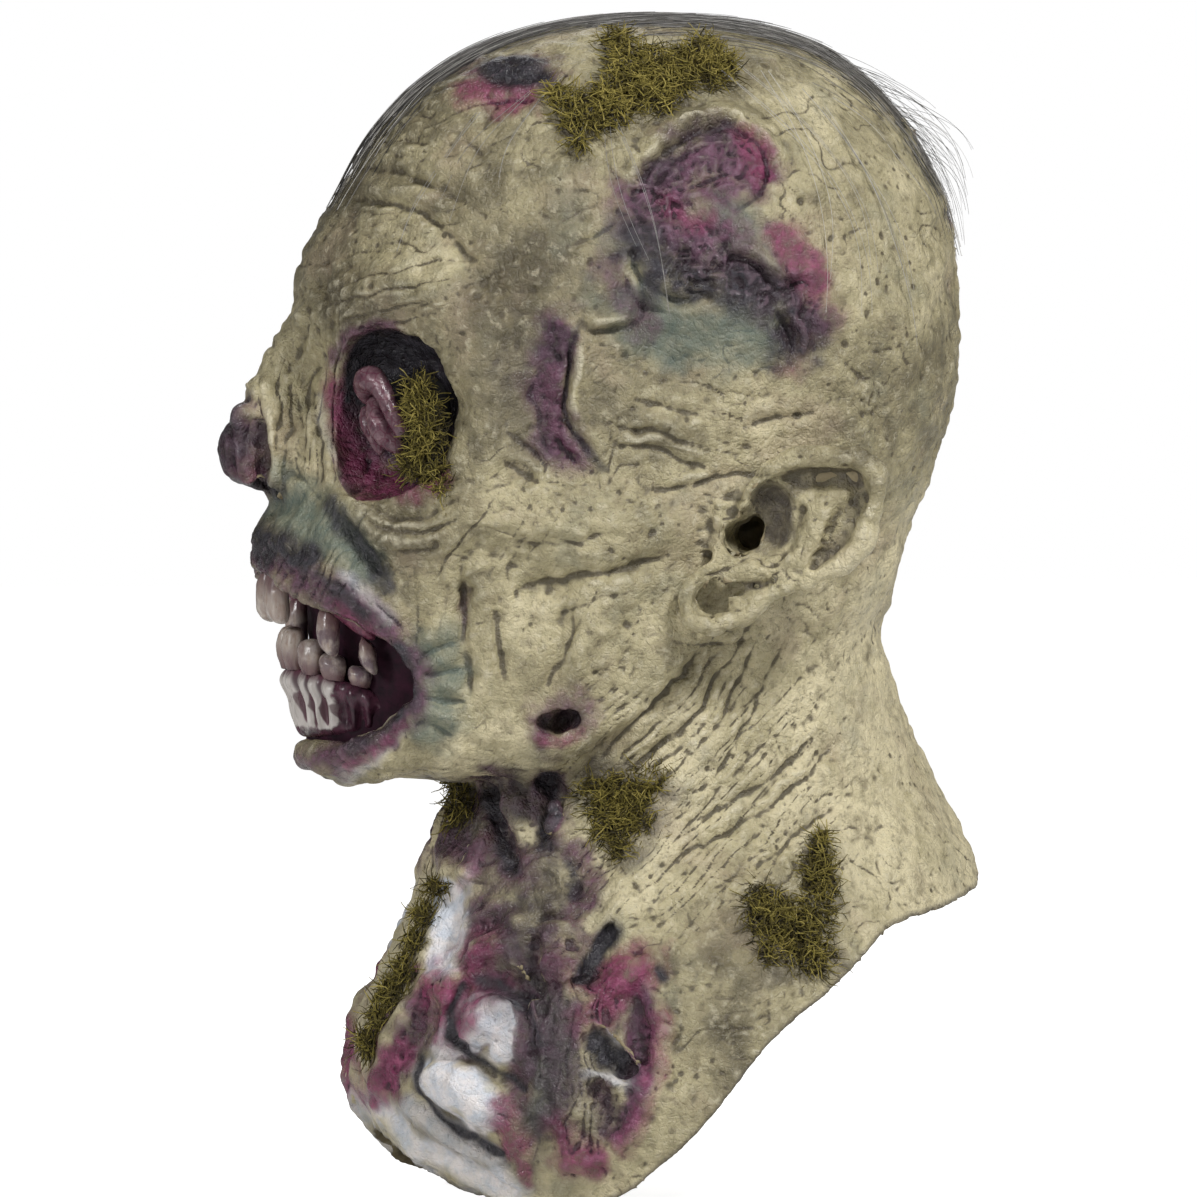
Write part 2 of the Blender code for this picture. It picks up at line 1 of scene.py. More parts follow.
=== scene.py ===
"""The looks of an overhead latex mask of a rotting undead creature.

The skin is modelled as a distance field: a head and a neck lofted from section tables, with
ropes and ellipsoids for the brow, nose, lips, jaw and ears, and hollows for the sockets, mouth
and wounds. The field is meshed, its wrinkles and tears are pressed into the mesh, and the paint
follows masks that are worked out with them. Lengths are in millimetres until a mesh is made.
"""

import math

import bmesh
import bpy
import numpy as np
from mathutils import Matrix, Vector


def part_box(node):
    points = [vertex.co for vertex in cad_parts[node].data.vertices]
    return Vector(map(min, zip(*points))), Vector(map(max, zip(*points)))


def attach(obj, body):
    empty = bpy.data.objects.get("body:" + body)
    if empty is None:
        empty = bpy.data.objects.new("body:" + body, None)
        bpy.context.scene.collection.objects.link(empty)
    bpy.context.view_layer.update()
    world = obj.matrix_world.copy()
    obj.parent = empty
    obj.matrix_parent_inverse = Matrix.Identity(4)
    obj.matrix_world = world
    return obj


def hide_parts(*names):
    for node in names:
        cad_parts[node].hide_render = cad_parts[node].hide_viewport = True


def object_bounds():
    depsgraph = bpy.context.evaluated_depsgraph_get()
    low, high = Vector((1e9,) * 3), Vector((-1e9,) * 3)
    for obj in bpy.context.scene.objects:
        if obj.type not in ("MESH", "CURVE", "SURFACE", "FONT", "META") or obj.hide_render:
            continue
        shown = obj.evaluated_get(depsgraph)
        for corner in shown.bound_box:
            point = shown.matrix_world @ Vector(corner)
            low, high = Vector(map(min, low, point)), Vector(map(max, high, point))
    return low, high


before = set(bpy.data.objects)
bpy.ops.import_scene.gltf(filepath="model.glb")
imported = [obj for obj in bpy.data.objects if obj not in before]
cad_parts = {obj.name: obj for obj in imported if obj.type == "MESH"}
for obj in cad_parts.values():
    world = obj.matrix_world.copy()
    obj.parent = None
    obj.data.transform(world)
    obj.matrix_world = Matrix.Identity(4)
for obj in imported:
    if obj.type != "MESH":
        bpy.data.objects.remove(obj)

CAD_BOX = [list(corner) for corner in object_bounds()]
BODY = "root"
MM = 0.001

# The camera looks at the wearer's left, turned a little towards the face
VIEW_AZIMUTH = math.radians(78)
VIEW_ELEVATION = math.radians(2)
VIEW_DISTANCE = 3.5
FRAME_WIDTH = 0.401
FRAME_CENTRE = (-28.6, -24.0)
ACROSS = (math.cos(VIEW_AZIMUTH), math.sin(VIEW_AZIMUTH))

SENSOR_WIDTH = 36.0

# Strength of the sky's light, and how bright the camera sees the floor
WORLD_LIGHT = 0.16
FLOOR_GLOW = 0.90
FLOOR_HALF_WIDTH = 6.0
FLOOR_GAP = 0.0006
# name, place, diameter and watts of each lamp, all aimed at the middle of the mask
LAMPS = (
    ("key_light", (1.25, 0.7, 1.35), 0.32, 28),
    ("front_light", (0.9, -1.4, 0.55), 0.4, 10),
    ("far_light", (-1.4, 0.3, 0.9), 0.9, 5),
)

# The grid of the distance field covers the left half, and is mirrored for the right
VOXEL = 1.6
GRID_LOW = np.array((0.0, -168.0, -232.0))
GRID_HIGH = np.array((108.0, 112.0, 180.0))
HEAD_TO_NECK_EASE = 9.0

# The wall is this thick near the hem, and a share of it further up, where no edge shows
LATEX = 2.5
THIN_SHARE = 0.16
THICK_HEM = 12
# Faces deeper than this under the plain loft are left out, which opens the mouth and the eyes
LATEX_CUT_DEPTH = 13.0
SOCKET_CUT_DEPTH = 20.0
# The sockets are in front of this Y and between these heights
EYE_FRONT, EYE_LOW, EYE_HIGH = -70, 2, 76

# height, widest along Y, reach to the front, reach to the back, half width, squareness
HEAD = np.array((
    (-85.0, -50, 0, 0, 0, 2.0),
    (-81.0, -50, 70, 34, 48, 2.1),
    (-76.0, -48, 82, 40, 57, 2.2),
    (-66.0, -42, 89, 46, 62, 2.2),
    (-52.0, -34, 101, 62, 65.5, 2.2),
    (-40.0, -25, 113, 80, 68, 2.2),
    (-28.0, -16, 126, 84, 70.5, 2.2),
    (-15.0, -9, 137, 81, 72.5, 2.2),
    (0.0, -4, 140, 79, 75, 2.2),
    (15.0, 0, 136, 80.5, 78, 2.2),
    (35.0, 4, 133, 82.5, 81, 2.2),
    (50.0, 7, 137, 82, 83, 2.2),
    (70.0, 10, 142.5, 80, 84, 2.2),
    (90.0, 9, 138, 81, 82, 2.1),
    (110.0, 4, 122.5, 81, 78, 2.1),
    (130.0, -4, 103, 79, 70, 2.0),
    (145.0, -9, 84.5, 73, 59, 2.0),
    (158.0, -12, 62, 60, 45, 2.0),
    (166.0, -13, 38, 40, 28, 2.0),
    (170.0, -13, 0, 0, 0, 2.0),
))
NECK = np.array((
    (-240.0, 0, 74, 100, 92, 2.2),
    (-226.0, 0, 83, 101, 94, 2.2),
    (-213.0, 0, 96, 102, 96, 2.2),
    (-200.0, 0, 106, 102, 98, 2.2),
    (-185.0, 0, 112.5, 102, 98, 2.2),
    (-165.0, 0, 110.5, 102, 95, 2.2),
    (-145.0, 0, 101, 102, 89, 2.2),
    (-125.0, 2, 94, 99, 80, 2.1),
    (-110.0, 4, 91, 94, 71, 2.0),
    (-96.0, 4, 86, 87, 64, 2.0),
    (-88.0, 4, 83, 82, 61, 2.0),
    (-75.0, 2, 79, 78, 60, 2.0),
    (-60.0, 0, 74, 72, 60, 2.0),
    (-40.0, 0, 66, 66, 58, 2.0),
    (-20.0, 0, 50, 56, 48, 2.0),
    (0.0, 0, 0, 0, 0, 2.0),
))
# The hem's height at each turn in degrees from the front
HEM = np.array((
    (0, -199.0),
    (14, -208.0),
    (28, -216.5),
    (46, -223.8),
    (66, -216.5),
    (80, -195.5),
    (95, -165.0),
    (126, -130.0),
    (180, -116.0),
))


# Distance fields

def axis_values(i):
    count = int(math.ceil((GRID_HIGH[i] - GRID_LOW[i]) / VOXEL))
    start = GRID_LOW[i] + (VOXEL / 2 if i == 0 else 0.0)
    return (start + VOXEL * np.arange(count)).astype(np.float32)


AXES = [axis_values(i) for i in range(3)]


def grid_part(low, high):
    """Index slices and coordinate arrays of the part of the grid in a box."""
    slices = []
    for i in range(3):
        first = np.searchsorted(AXES[i], low[i])
        last = max(np.searchsorted(AXES[i], high[i]), first + 1)
        slices.append(slice(first, last))
    coordinates = np.meshgrid(*(AXES[i][slices[i]] for i in range(3)), indexing="ij", sparse=True)
    return tuple(slices), coordinates


def section(table, z):
    """Widest point, reaches, half width and squareness at heights, with rounded ends."""
    columns = [np.interp(z, table[:, 0], table[:, 1])]
    for i in (2, 3, 4):
        columns.append(np.sqrt(np.interp(z, table[:, 0], table[:, i] ** 2)))
    columns.append(np.interp(z, table[:, 0], table[:, 5]))
    return columns


def smooth_table(table):
    """The table resampled every millimetre and eased, so its corners don't show."""
    z = np.arange(table[0, 0], table[-1, 0] + 0.5, 1.0)
    columns = section(table, z)
    kernel = np.hanning(13)[1:-1]
    kernel /= kernel.sum()
    eased = [z]
    for i, column in enumerate(columns):
        values = column**2 if i in (1, 2, 3) else column
        padded = np.pad(values, len(kernel) // 2, mode="reflect", reflect_type="odd")
        values = np.convolve(padded, kernel, mode="valid")
        eased.append(np.sqrt(np.maximum(values, 0.0)) if i in (1, 2, 3) else values)
    return np.stack(eased, axis=1)


HEAD = smooth_table(HEAD)
NECK = smooth_table(NECK)


def loft_field(table, x, y, z):
    """Roughly the distance from a lofted form."""
    mid, front, back, half, square = (np.asarray(c, np.float32) for c in section(table, z))
    across = np.abs(x) / np.maximum(half, 0.5)
    along = np.abs(y - mid) / np.maximum(np.where(y < mid, front, back), 0.5)
    norm = (across**square + along**square) ** (1 / square)
    radius = np.sqrt(x * x + (y - mid) ** 2)
    field = radius * (1 - 1 / np.maximum(norm, 0.02))
    beyond = np.maximum(np.maximum(z - table[-1, 0], table[0, 0] - z), 0)
    return np.where(beyond > 0, np.sqrt(radius**2 + beyond**2), field).astype(np.float32)


def true_distance(field):
    """Scales a field by its own slope, so that it measures millimetres near the surface."""
    slopes = np.gradient(field, VOXEL)
    steep = np.sqrt(sum(s * s for s in slopes))
    return (field / np.clip(steep, 0.7, 6.0)).astype(np.float32)


def smooth_union(a, b, ease):
    share = np.clip(0.5 + 0.5 * (b - a) / ease, 0, 1)
    return b + (a - b) * share - ease * share * (1 - share)


def smooth_cut(a, b, ease):
    return -smooth_union(-a, b, ease)


def rope_field(points, x, y, z):
    """Distance from a round rope through points of x, y, z and radius."""
    best = None
    for (ax, ay, az, ar), (bx, by, bz, br) in zip(points, points[1:]):
        dx, dy, dz = bx - ax, by - ay, bz - az
        length2 = dx * dx + dy * dy + dz * dz + 1e-9
        share = np.clip(((x - ax) * dx + (y - ay) * dy + (z - az) * dz) / length2, 0, 1)
        away = np.sqrt(
            (x - ax - share * dx) ** 2 + (y - ay - share * dy) ** 2 + (z - az - share * dz) ** 2
        )
        field = away - (ar + (br - ar) * share)
        best = field if best is None else np.minimum(best, field)
    return best


def ellipsoid_field(centre, radii, x, y, z, turn=0.0, tilt=0.0):
    """Turn is about Z and tilt about X, in degrees."""
    px, py, pz = x - centre[0], y - centre[1], z - centre[2]
    c, s = math.cos(math.radians(turn)), math.sin(math.radians(turn))
    px, py = c * px + s * py, -s * px + c * py
    c, s = math.cos(math.radians(tilt)), math.sin(math.radians(tilt))
    py, pz = c * py + s * pz, -s * py + c * pz
    k0 = np.sqrt((px / radii[0]) ** 2 + (py / radii[1]) ** 2 + (pz / radii[2]) ** 2)
    k1 = np.sqrt(
        (px / radii[0] ** 2) ** 2 + (py / radii[1] ** 2) ** 2 + (pz / radii[2] ** 2) ** 2
    )
    return k0 * (k0 - 1) / np.maximum(k1, 1e-6)


def polygon_field(outline, a, b):
    """Distance from a flat outline in two coordinates, negative inside."""
    shape = np.broadcast(a, b).shape
    best = np.full(shape, 1e9, np.float32)
    inside = np.zeros(shape, bool)
    for (a0, b0), (a1, b1) in zip(outline, outline[1:] + outline[:1]):
        da, db = a1 - a0, b1 - b0
        share = np.clip(((a - a0) * da + (b - b0) * db) / (da * da + db * db), 0, 1)
        best = np.minimum(best, (a - a0 - share * da) ** 2 + (b - b0 - share * db) ** 2)
        crosses = (b0 > b) != (b1 > b)
        if db != 0:
            inside ^= crosses & (a < a0 + (b - b0) * da / db)
    return np.where(inside, -1, 1) * np.sqrt(best)


def surface_y(x, z):
    """Where the front of the head is at a distance from the middle and a height."""
    mid, front, _, half, square = section(HEAD, z)
    share = min(abs(x) / half, 0.999)
    return float(mid - front * (1 - share**square) ** (1 / square))


def front_rope(places, sink=0.0):
    """A rope on the face, through places of x, height and radius, sunk by so much."""
    return [(x, surface_y(x, z) + sink, z, r) for x, z, r in places]


def rope_box(points, margin):
    rows = np.array(points)
    reach = rows[:, 3].max() + margin
    return rows[:, :3].min(axis=0) - reach, rows[:, :3].max(axis=0) + reach


class Form:
    """The field of the growing model, on the left half of the grid."""

    def __init__(self):
        _, (x, y, z) = grid_part(GRID_LOW - 1, GRID_HIGH + 1)
        head = true_distance(loft_field(HEAD, x, y, z))
        neck = true_distance(loft_field(NECK, x, y, z))
        self.field = smooth_union(head, neck, HEAD_TO_NECK_EASE)

    def blend(self, box, shape, ease, cut=False):
        """Joins a shape to the model, or cuts it out, inside a box that holds all it changes."""
        part, (x, y, z) = grid_part(*box)
        join = smooth_cut if cut else smooth_union
        self.field[part] = join(self.field[part], shape(x, y, z), ease)

    def rope(self, points, ease, cut=False):
        self.blend(rope_box(points, 3 * ease), lambda *p: rope_field(points, *p), ease, cut)

    def ellipsoid(self, centre, radii, ease, cut=False, turn=0.0, tilt=0.0):
        reach = max(radii) + 3 * ease
        box = np.array(centre) - reach, np.array(centre) + reach
        self.blend(
            box, lambda *p: ellipsoid_field(centre, radii, *p, turn=turn, tilt=tilt), ease, cut
        )


# Places on the model, given as they are seen from the side: u to the right and z up

SIDE_TURNS = np.linspace(0, math.pi, 181)


def near_point(u, z, table=HEAD, lift=0.0):
    """The point of a lofted form's left side that the side view shows at u, z."""
    mid, front, back, half, square = (float(c) for c in section(table, z))
    c, s = np.cos(SIDE_TURNS), np.sin(SIDE_TURNS)
    reach = np.where(c > 0, front, back)
    size = (np.abs(c) ** square + np.abs(s) ** square) ** (-1 / square)
    x, y = half * s * size, mid - reach * c * size
    seen = y * ACROSS[1] + x * ACROSS[0]
    last = int(np.argmax(seen)) + 1
    first = int(np.argmin(seen[:last]))
    turn = np.interp(u, seen[first:last], SIDE_TURNS[first:last])
    px, py = np.interp(turn, SIDE_TURNS, x), np.interp(turn, SIDE_TURNS, y)
    if lift:
        radius = math.hypot(px, py - mid)
        px, py = px * (1 + lift / radius), mid + (py - mid) * (1 + lift / radius)
    return float(px), float(py), float(z)


def side_rope(places, sink=0.0, table=HEAD):
    """A rope over the left side through places of u, z and radius."""
    return [(*near_point(u, z, table, -sink), r) for u, z, r in places]


EAR_ORIGIN = (84.0, 14.0, 0.0)
EAR_TURN = math.radians(20)


def ear_point(p, q, n):
    """A point of the left ear: p back, q up and n out of the ear's own plane."""
    c, s = math.cos(EAR_TURN), math.sin(EAR_TURN)
    return EAR_ORIGIN[0] + s * p + c * n, EAR_ORIGIN[1] + c * p - s * n, EAR_ORIGIN[2] + q


def ear_rope(places):
    return [(*ear_point(p, q, n), r) for p, q, n, r in places]


SOCKET_CENTRE = (45.0, -109.5, 39.0)
SOCKET_TURN = 41.0
# the mouth's opening as x and z, and how far back it is cut
MOUTH_OUTLINE = [
    (0, -12.0), (12, -12.5), (22, -16.0), (31.5, -21.0), (40, -25.0), (49.5, -35.0),
    (51.5, -46.0), (50.5, -55.0), (42, -66.0), (30, -73.0), (15, -73.5), (0, -73.0),
]
MOUTH_BACK = -84
MOUTH_BOX = ((0, -175, -95), (75, -72, 10))
JAW_HOLE = (-41.5, -61.5)
EAR_OUTLINE = [
    (-14, 8), (-9, 16), (-3, 22), (6, 26.5), (16, 28.5), (28, 27.5), (34, 24), (35, 18),
    (32.5, 8), (29, -3), (21, -10), (10, -16.5), (-4, -20.5), (-13, -27), (-22, -30.5),
    (-28, -29.5), (-30, -26), (-30, -20), (-26, -13), (-19, -8), (-16, 0),
]
EAR_HALF_THICKNESS = 1.7
EAR_BOX = ((60, -30, -42), (108, 62, 40))
# ease, cut or raised, places of p, q, n and radius
EAR_ROPES = (
    # helix from its root over the top and down the back
    (1.2, False, (
        (-13, 4, 1, 2.6), (-10, 12, 2.5, 3.2), (-5, 19.5, 3.5, 3.8), (4, 24.5, 4, 4.6),
        (15, 25.5, 4.5, 5.0), (26, 25, 4.5, 4.8), (32, 20, 4.5, 4.0), (31, 9, 3.5, 3.2),
        (28, -2, 3, 3.2), (20, -9, 2.5, 3.4), (9, -14.5, 2, 3.6), (-4, -18.5, 1.5, 3.2),
    )),
    # the earlobe, curled round on itself
    (1.2, False, (
        (-4, -19, 1.5, 3.2), (-12, -26.5, 3, 3.6), (-22, -29.5, 4.2, 3.8), (-29, -27.5, 5, 3.6),
        (-30, -20, 5.2, 3.2), (-26, -14, 4.6, 3.0), (-20, -9, 2.4, 2.6),
    )),
    # antihelix with its two branches, then the antitragus
    (1.5, False, ((26, 13, 0, 3.4), (18, 13.5, 0, 4.0), (8, 13, 0, 3.6))),
    (1.5, False, ((25, 4, 0, 3.0), (20, -3, -0.4, 3.0), (13, -8, -0.6, 2.6))),
    (1.5, False, (
        (22, 13, 1.0, 3.0), (14, 10.5, 2.4, 4.0), (11, 2, 2.8, 4.6), (8, -7, 2.6, 4.2),
        (1, -11.5, 2.2, 3.2),
    )),
    (1.5, False, ((12, 9, 2.2, 2.6), (6, 13.5, 1.5, 2.4), (1, 15, 1, 2.2))),
    (1.5, False, ((-21, -5, 1, 2.8), (-15, -11, 2.4, 3.4), (-4, -12.5, 2.2, 3.2))),
    (1.5, False, ((-20, 8, 0, 3.4), (-19, 0, 0, 3.6), (-21, -6, 0, 3.0))),
    # the fold under the helix and the groove in front of its back edge
    (1.0, True, ((-1, 13, 4.2, 1.8), (7, 17, 4.0, 2.2), (16, 18.5, 4.0, 2.2), (25, 17.5, 4.0, 2.2),
                 (28, 12, 3.6, 2.0))),
    (1.6, True, ((26, 13, 4.0, 2.2), (24, 4, 3.8, 2.6), (19, -4, 3.6, 2.6), (11, -10, 3.4, 2.0))),
    (0.8, True, ((-24, -15.5, 3, 1.8), (-14, -18, 2.6, 2.0), (-5, -16.5, 2.6, 1.6))),
    (0.8, True, ((32, 3, 6, 2.4), (35, 0, 6, 2.6))),
)


def add_face(form):
    # brow, outer rim of the socket and the bag under it
    form.rope(
        side_rope((
            (-126, 70, 6), (-112, 77, 8), (-96, 81, 10), (-82, 76, 11), (-72, 62, 10),
            (-67, 44, 9), (-69, 26, 8),
        ), 6.0), 8.0,
    )
    form.rope(
        side_rope(((-67, 30, 7), (-72, 14, 7), (-84, 3, 6.5), (-98, 1, 6), (-110, 8, 5)), 4.5), 7.0
    )
    # cheekbone back to the ear, the hollow under it and the muscle before the jaw's corner
    form.rope(side_rope(((-74, 6, 9), (-52, 6, 9), (-28, 5, 8), (-2, 2, 6)), 6.5), 9.0)
    form.blend(
        ((40, -120, -60), (110, -10, 10)),
        lambda *p: ellipsoid_field((84, -66, -26), (13, 24, 20), *p, turn=-22),
        12.0, cut=True,
    )
    form.rope(side_rope(((-30, -14, 8), (-34, -40, 9), (-40, -62, 8)), 7.0), 10.0)
    form.rope(side_rope(((0, -30, 7), (-20, -54, 7), (-48, -70, 6)), 5.5), 9.0)
    form.ellipsoid((96, -28, 62), (15, 24, 26), 14.0, cut=True, turn=-12)
    # nose: bridge, the flesh bulb that its torn skin leaves bare, wings and knob
    form.rope([(0, -128, 66, 7), (0, -135, 54, 9), (0, -138, 44, 10)], 7.0)
    form.ellipsoid((0, -137, 26), (15, 13, 17), 5.0)
    form.rope([(15, -128, 34, 6), (17, -127, 18, 7.5), (14, -133, 12, 5)], 5.0)
    form.ellipsoid((0, -147.5, 26.5), (9.5, 11.5, 11.5), 1.4, tilt=-25)
    form.ellipsoid((5, -146, 37), (6, 8, 6), 2.0)
    form.ellipsoid((7, -147, 20), (5, 7, 6), 2.0)
    form.rope([(0, -145, 47, 4.2), (7, -144, 46, 3.4)], 2.0)
    form.rope([
        (6, -146, 44.5, 2.6), (10.5, -144.5, 38, 2.4), (13, -143, 28, 2.4), (12.5, -142, 20, 2.4),
        (11, -139.5, 12.5, 2.4),
    ], 2.0)
    form.rope([(6, -147, 12, 3.2), (8, -138, 15, 3.5)], 1.5, cut=True)
    # the socket, opening outwards
    form.ellipsoid(SOCKET_CENTRE, (25, 19, 28), 3.5, cut=True, turn=SOCKET_TURN)
    form.ellipsoid((34.8, -96.5, 38), (11.5, 16, 14.5), 1.5, cut=True, turn=SOCKET_TURN)
    # mouth: a muzzle that stands out, the opening, then its two lips
    form.rope(front_rope(((0, -4, 8), (20, -6, 8), (36, -14, 7), (48, -26, 6)), 5.0), 8.0)
    form.rope(front_rope(((0, -79, 6), (22, -78, 6), (40, -72, 6), (50, -60, 6)), 5.0), 7.0)
    form.blend(
        MOUTH_BOX,
        lambda x, y, z: np.maximum(polygon_field(MOUTH_OUTLINE, x, z + 0 * y), y - MOUTH_BACK),
        3.0, cut=True,
    )
    form.rope(front_rope((
        (0, -11.5, 4.4), (12, -12, 4.4), (22, -15.5, 4.2), (31.5, -20.5, 3.8), (40, -24.5, 3.6),
        (50, -34.5, 3.0),
    ), 2.0), 2.5)
    form.rope(front_rope((
        (50, -34.5, 3.0), (52.5, -46, 2.8), (51, -56, 3.0), (42, -67, 3.6), (30, -74, 4.6),
        (15, -75, 5.4), (0, -74.5, 5.6),
    ), 2.0), 2.5)


def add_jaw_hole(form):
    """A small round wound through the cheek, above the corner of the jaw."""
    x, y, z = near_point(*JAW_HOLE)
    form.rope(side_rope(((-49, -60, 3), (-45, -54.5, 3), (-37, -55, 3), (-33, -60, 3)), 1.5), 4.0)
    form.rope(side_rope(((-49, -66, 2.6), (-41, -68, 3), (-33.5, -64, 2.6)), 1.2), 3.0)
    form.rope([(x + 1, y - 2, z - 1, 3.0), (x - 4, y + 2, z - 1.5, 2.8)], 3.0, cut=True)
    form.rope(side_rope(((-46.5, -62, 3.2), (-37, -60.5, 3.4)), 0.0), 2.5, cut=True)


def add_ear(form):
    c, s = math.cos(EAR_TURN), math.sin(EAR_TURN)

    def plate(x, y, z):
        dx, dy = x - EAR_ORIGIN[0], y - EAR_ORIGIN[1]
        p, q, n = s * dx + c * dy, z - EAR_ORIGIN[2], c * dx - s * dy
        cupped = n - 0.2 - 0.0045 * (p - 8) ** 2
        flat = polygon_field(EAR_OUTLINE, p, q)
        return smooth_cut(flat, EAR_HALF_THICKNESS - np.abs(cupped), 1.5)

    form.ellipsoid((75, 15, 2), (11, 16, 18), 6.0)
    form.blend(EAR_BOX, plate, 2.0)
    for soft, cut, places in EAR_ROPES:
        form.rope(ear_rope(places), soft, cut=cut)
    form.ellipsoid(ear_point(-5, 2, 3), (7.5, 8.5, 9), 1.5, cut=True, turn=-20)
    form.ellipsoid(ear_point(-3, 10, 3), (6.0, 5.5, 6), 1.5, cut=True, turn=-20)
    form.ellipsoid(ear_point(-21.5, -22, 6.6), (4.6, 7.0, 5.0), 1.6, cut=True, turn=-20)
    form.rope([(*ear_point(-14, -1, 8), 5.0), (*ear_point(-12, -1, -22), 4.4)], 1.2, cut=True)
    form.rope([(*ear_point(-10, 2.5, 8), 2.6), (*ear_point(-10, 2.5, -20), 2.6)], 1.2, cut=True)


# sink under the plain neck, ease, cut or raised, places of u, z and radius, all over the neck
NECK_FORMS = (
    # sinews from the jaw to the collarbone
    (5.0, 9.0, False, ((6, -64, 6), (-6, -96, 7), (-24, -128, 7))),
    # the throat's torn flaps, and the dark gaps between them
    (2.0, 3.0, False, ((-78, -97, 5), (-82, -106, 5), (-80, -114, 4))),
    (0.5, 3.2, True, ((-65, -84, 2.6), (-62, -97, 3.4), (-57, -109, 3.0))),
    (1.0, 3.2, True, ((-47, -82, 4.0), (-43, -88, 4.6), (-46, -98, 3.0))),
    (1.0, 2.0, False, ((-59, -82, 4.6), (-56, -92, 5.2), (-54, -101, 3.6))),
    (0.8, 1.6, False, ((-66, -98, 2.4), (-69, -106, 4.6), (-72, -114, 5.2))),
    (0.0, 1.0, False, ((-43, -91, 1.9), (-43, -97, 2.3))),
    (0.6, 1.2, False, ((-54, -111, 2.2), (-49, -106, 2.8), (-43, -104, 2.6), (-37, -102, 2.4))),
    (0.6, 1.2, False, ((-50, -112, 2.4), (-45, -109, 3.0), (-41, -113, 2.4))),
    (0.6, 1.2, False, ((-53, -117, 2.4), (-51, -125, 2.6))),
    (0.6, 1.2, False, ((-47, -117, 2.2), (-45, -124, 2.6))),
    (0.6, 1.2, False, ((-41, -115, 2.2), (-40, -122, 2.6))),
    (0.0, 1.2, True, ((-53, -114, 2.2), (-51, -116, 2.0))),
    (0.0, 1.2, True, ((-37, -110, 2.4), (-37, -117, 2.6))),
    (0.0, 1.2, True, ((-47, -127, 2.0), (-42, -127, 2.4))),
    (0.6, 2.5, False, ((-75, -131, 2.2), (-66, -126, 2.8), (-57, -121, 2.6), (-51, -114, 2.0))),
)
CHEST_FORMS = (
    # the breastbone's bare hollow and the purple flesh beside it
    (-2.0, 5.0, True, ((-76, -120, 5), (-79, -132, 5.5), (-82, -146, 4))),
    (2.5, 3.0, False, ((-86, -150, 5), (-79, -152, 7.5), (-78, -157, 6))),
    (2.0, 4.0, False, ((-92, -160, 5.5), (-97, -171, 6), (-102, -184, 5.5))),
    # lumps of flesh over the ribs
    (1.5, 2.2, False, ((-67, -138, 6.8), (-60, -137, 5.8))),
    (1.5, 2.2, False, ((-57, -129, 4.8), (-53, -131, 4.4))),
    (1.0, 1.8, False, ((-56, -142, 4.4), (-55, -144, 4.0))),
    (2.0, 2.5, False, ((-43, -142, 7), (-38, -144, 6.5))),
    (1.5, 2.5, False, ((-45, -132, 5), (-39, -131, 4))),
    (0.5, 1.5, True, ((-50, -135, 2.4), (-49, -146, 3.2))),
    # two bared ribs, a third under its skin, and the grooves between them
    (1.2, 2.0, False, ((-71, -164, 5.5), (-66, -160, 8.6), (-61, -156, 7.6))),
    (2.0, 2.0, False, ((-62, -162, 7), (-60, -168, 5))),
    (1.0, 1.5, False, ((-56, -167, 3.8), (-54, -170, 3.6))),
    (1.2, 2.0, False, ((-81, -179, 6.6), (-73, -182, 9.0), (-65, -187, 8.0))),
    (1.0, 1.4, False, ((-78, -168, 2.8), (-68, -174, 3.0), (-59, -181, 2.8))),
    (1.5, 1.8, False, ((-92, -187, 4), (-80, -194, 5), (-68, -202, 5), (-56, -209, 4.6))),
    (1.2, 2.5, False, ((-103, -190, 4), (-90, -201, 4.6), (-76, -209, 4.6), (-58, -217, 4))),
    (1.0, 1.8, False, ((-58, -191, 4.5), (-55, -200, 4))),
    (1.0, 1.2, False, ((-59, -200, 2.2), (-53, -204, 2.4), (-52, -211, 2.2))),
    (-0.4, 3.0, True, ((-73, -150, 2.6), (-76, -158, 2.8), (-77, -165, 2.2))),
    (-0.4, 3.4, True, ((-66, -147, 2.6), (-56, -148, 4.0), (-49, -156, 4.2), (-48, -166, 3.2))),
    (-0.5, 3.0, True, ((-77, -164, 2.2), (-71, -170, 2.6), (-62, -176, 2.8), (-54, -180, 2.6))),
    (-0.5, 3.0, True, ((-87, -173, 2.6), (-88, -183, 2.8), (-80, -192, 2.6), (-70, -198, 2.4),
                      (-60, -203, 2.0))),
    # the stringy muscle beside the ribs
    (0.8, 2.5, False, ((-50, -154, 2.4), (-47, -170, 2.8), (-50, -188, 2.4))),
    (0.8, 2.5, False, ((-43, -152, 2.6), (-41, -172, 2.8), (-44, -192, 2.6))),
    (0.8, 2.5, False, ((-36, -152, 2.4), (-35, -170, 2.6), (-38, -188, 2.4))),
    # the open wound at the shoulder's side
    (0.2, 3.0, True, ((-33, -145, 2.4), (-28, -137, 3.4), (-24, -129, 1.8))),
    (-0.2, 3.2, True, ((-16, -150, 2.6), (-15, -163, 3.2), (-16, -176, 2.4))),
    (-1.0, 3.0, True, ((-28, -183, 4.4), (-24, -190, 4.4))),
    (-0.2, 2.4, True, ((-31, -164, 2.6), (-26, -168, 3.8), (-19, -174, 2.6))),
    (1.2, 2.2, False, ((-34, -158, 3.2), (-27, -150, 5.0), (-19, -143, 5.6), (-12, -141, 4))),
    (1.2, 3.0, False, ((-12, -148, 3.2), (-8, -162, 4), (-10, -178, 4), (-18, -193, 3.6),
                       (-26, -203, 3))),
    (1.2, 2.2, False, ((-42, -193, 4), (-39, -204, 4.6), (-30, -203, 4))),
    (0.4, 1.2, False, ((-29, -159, 1.8), (-22, -165, 2.2), (-15, -174, 1.6))),
    (0.8, 1.8, False, ((-32, -174, 2.6), (-24, -178, 4.0), (-14, -179, 2.4))),
)


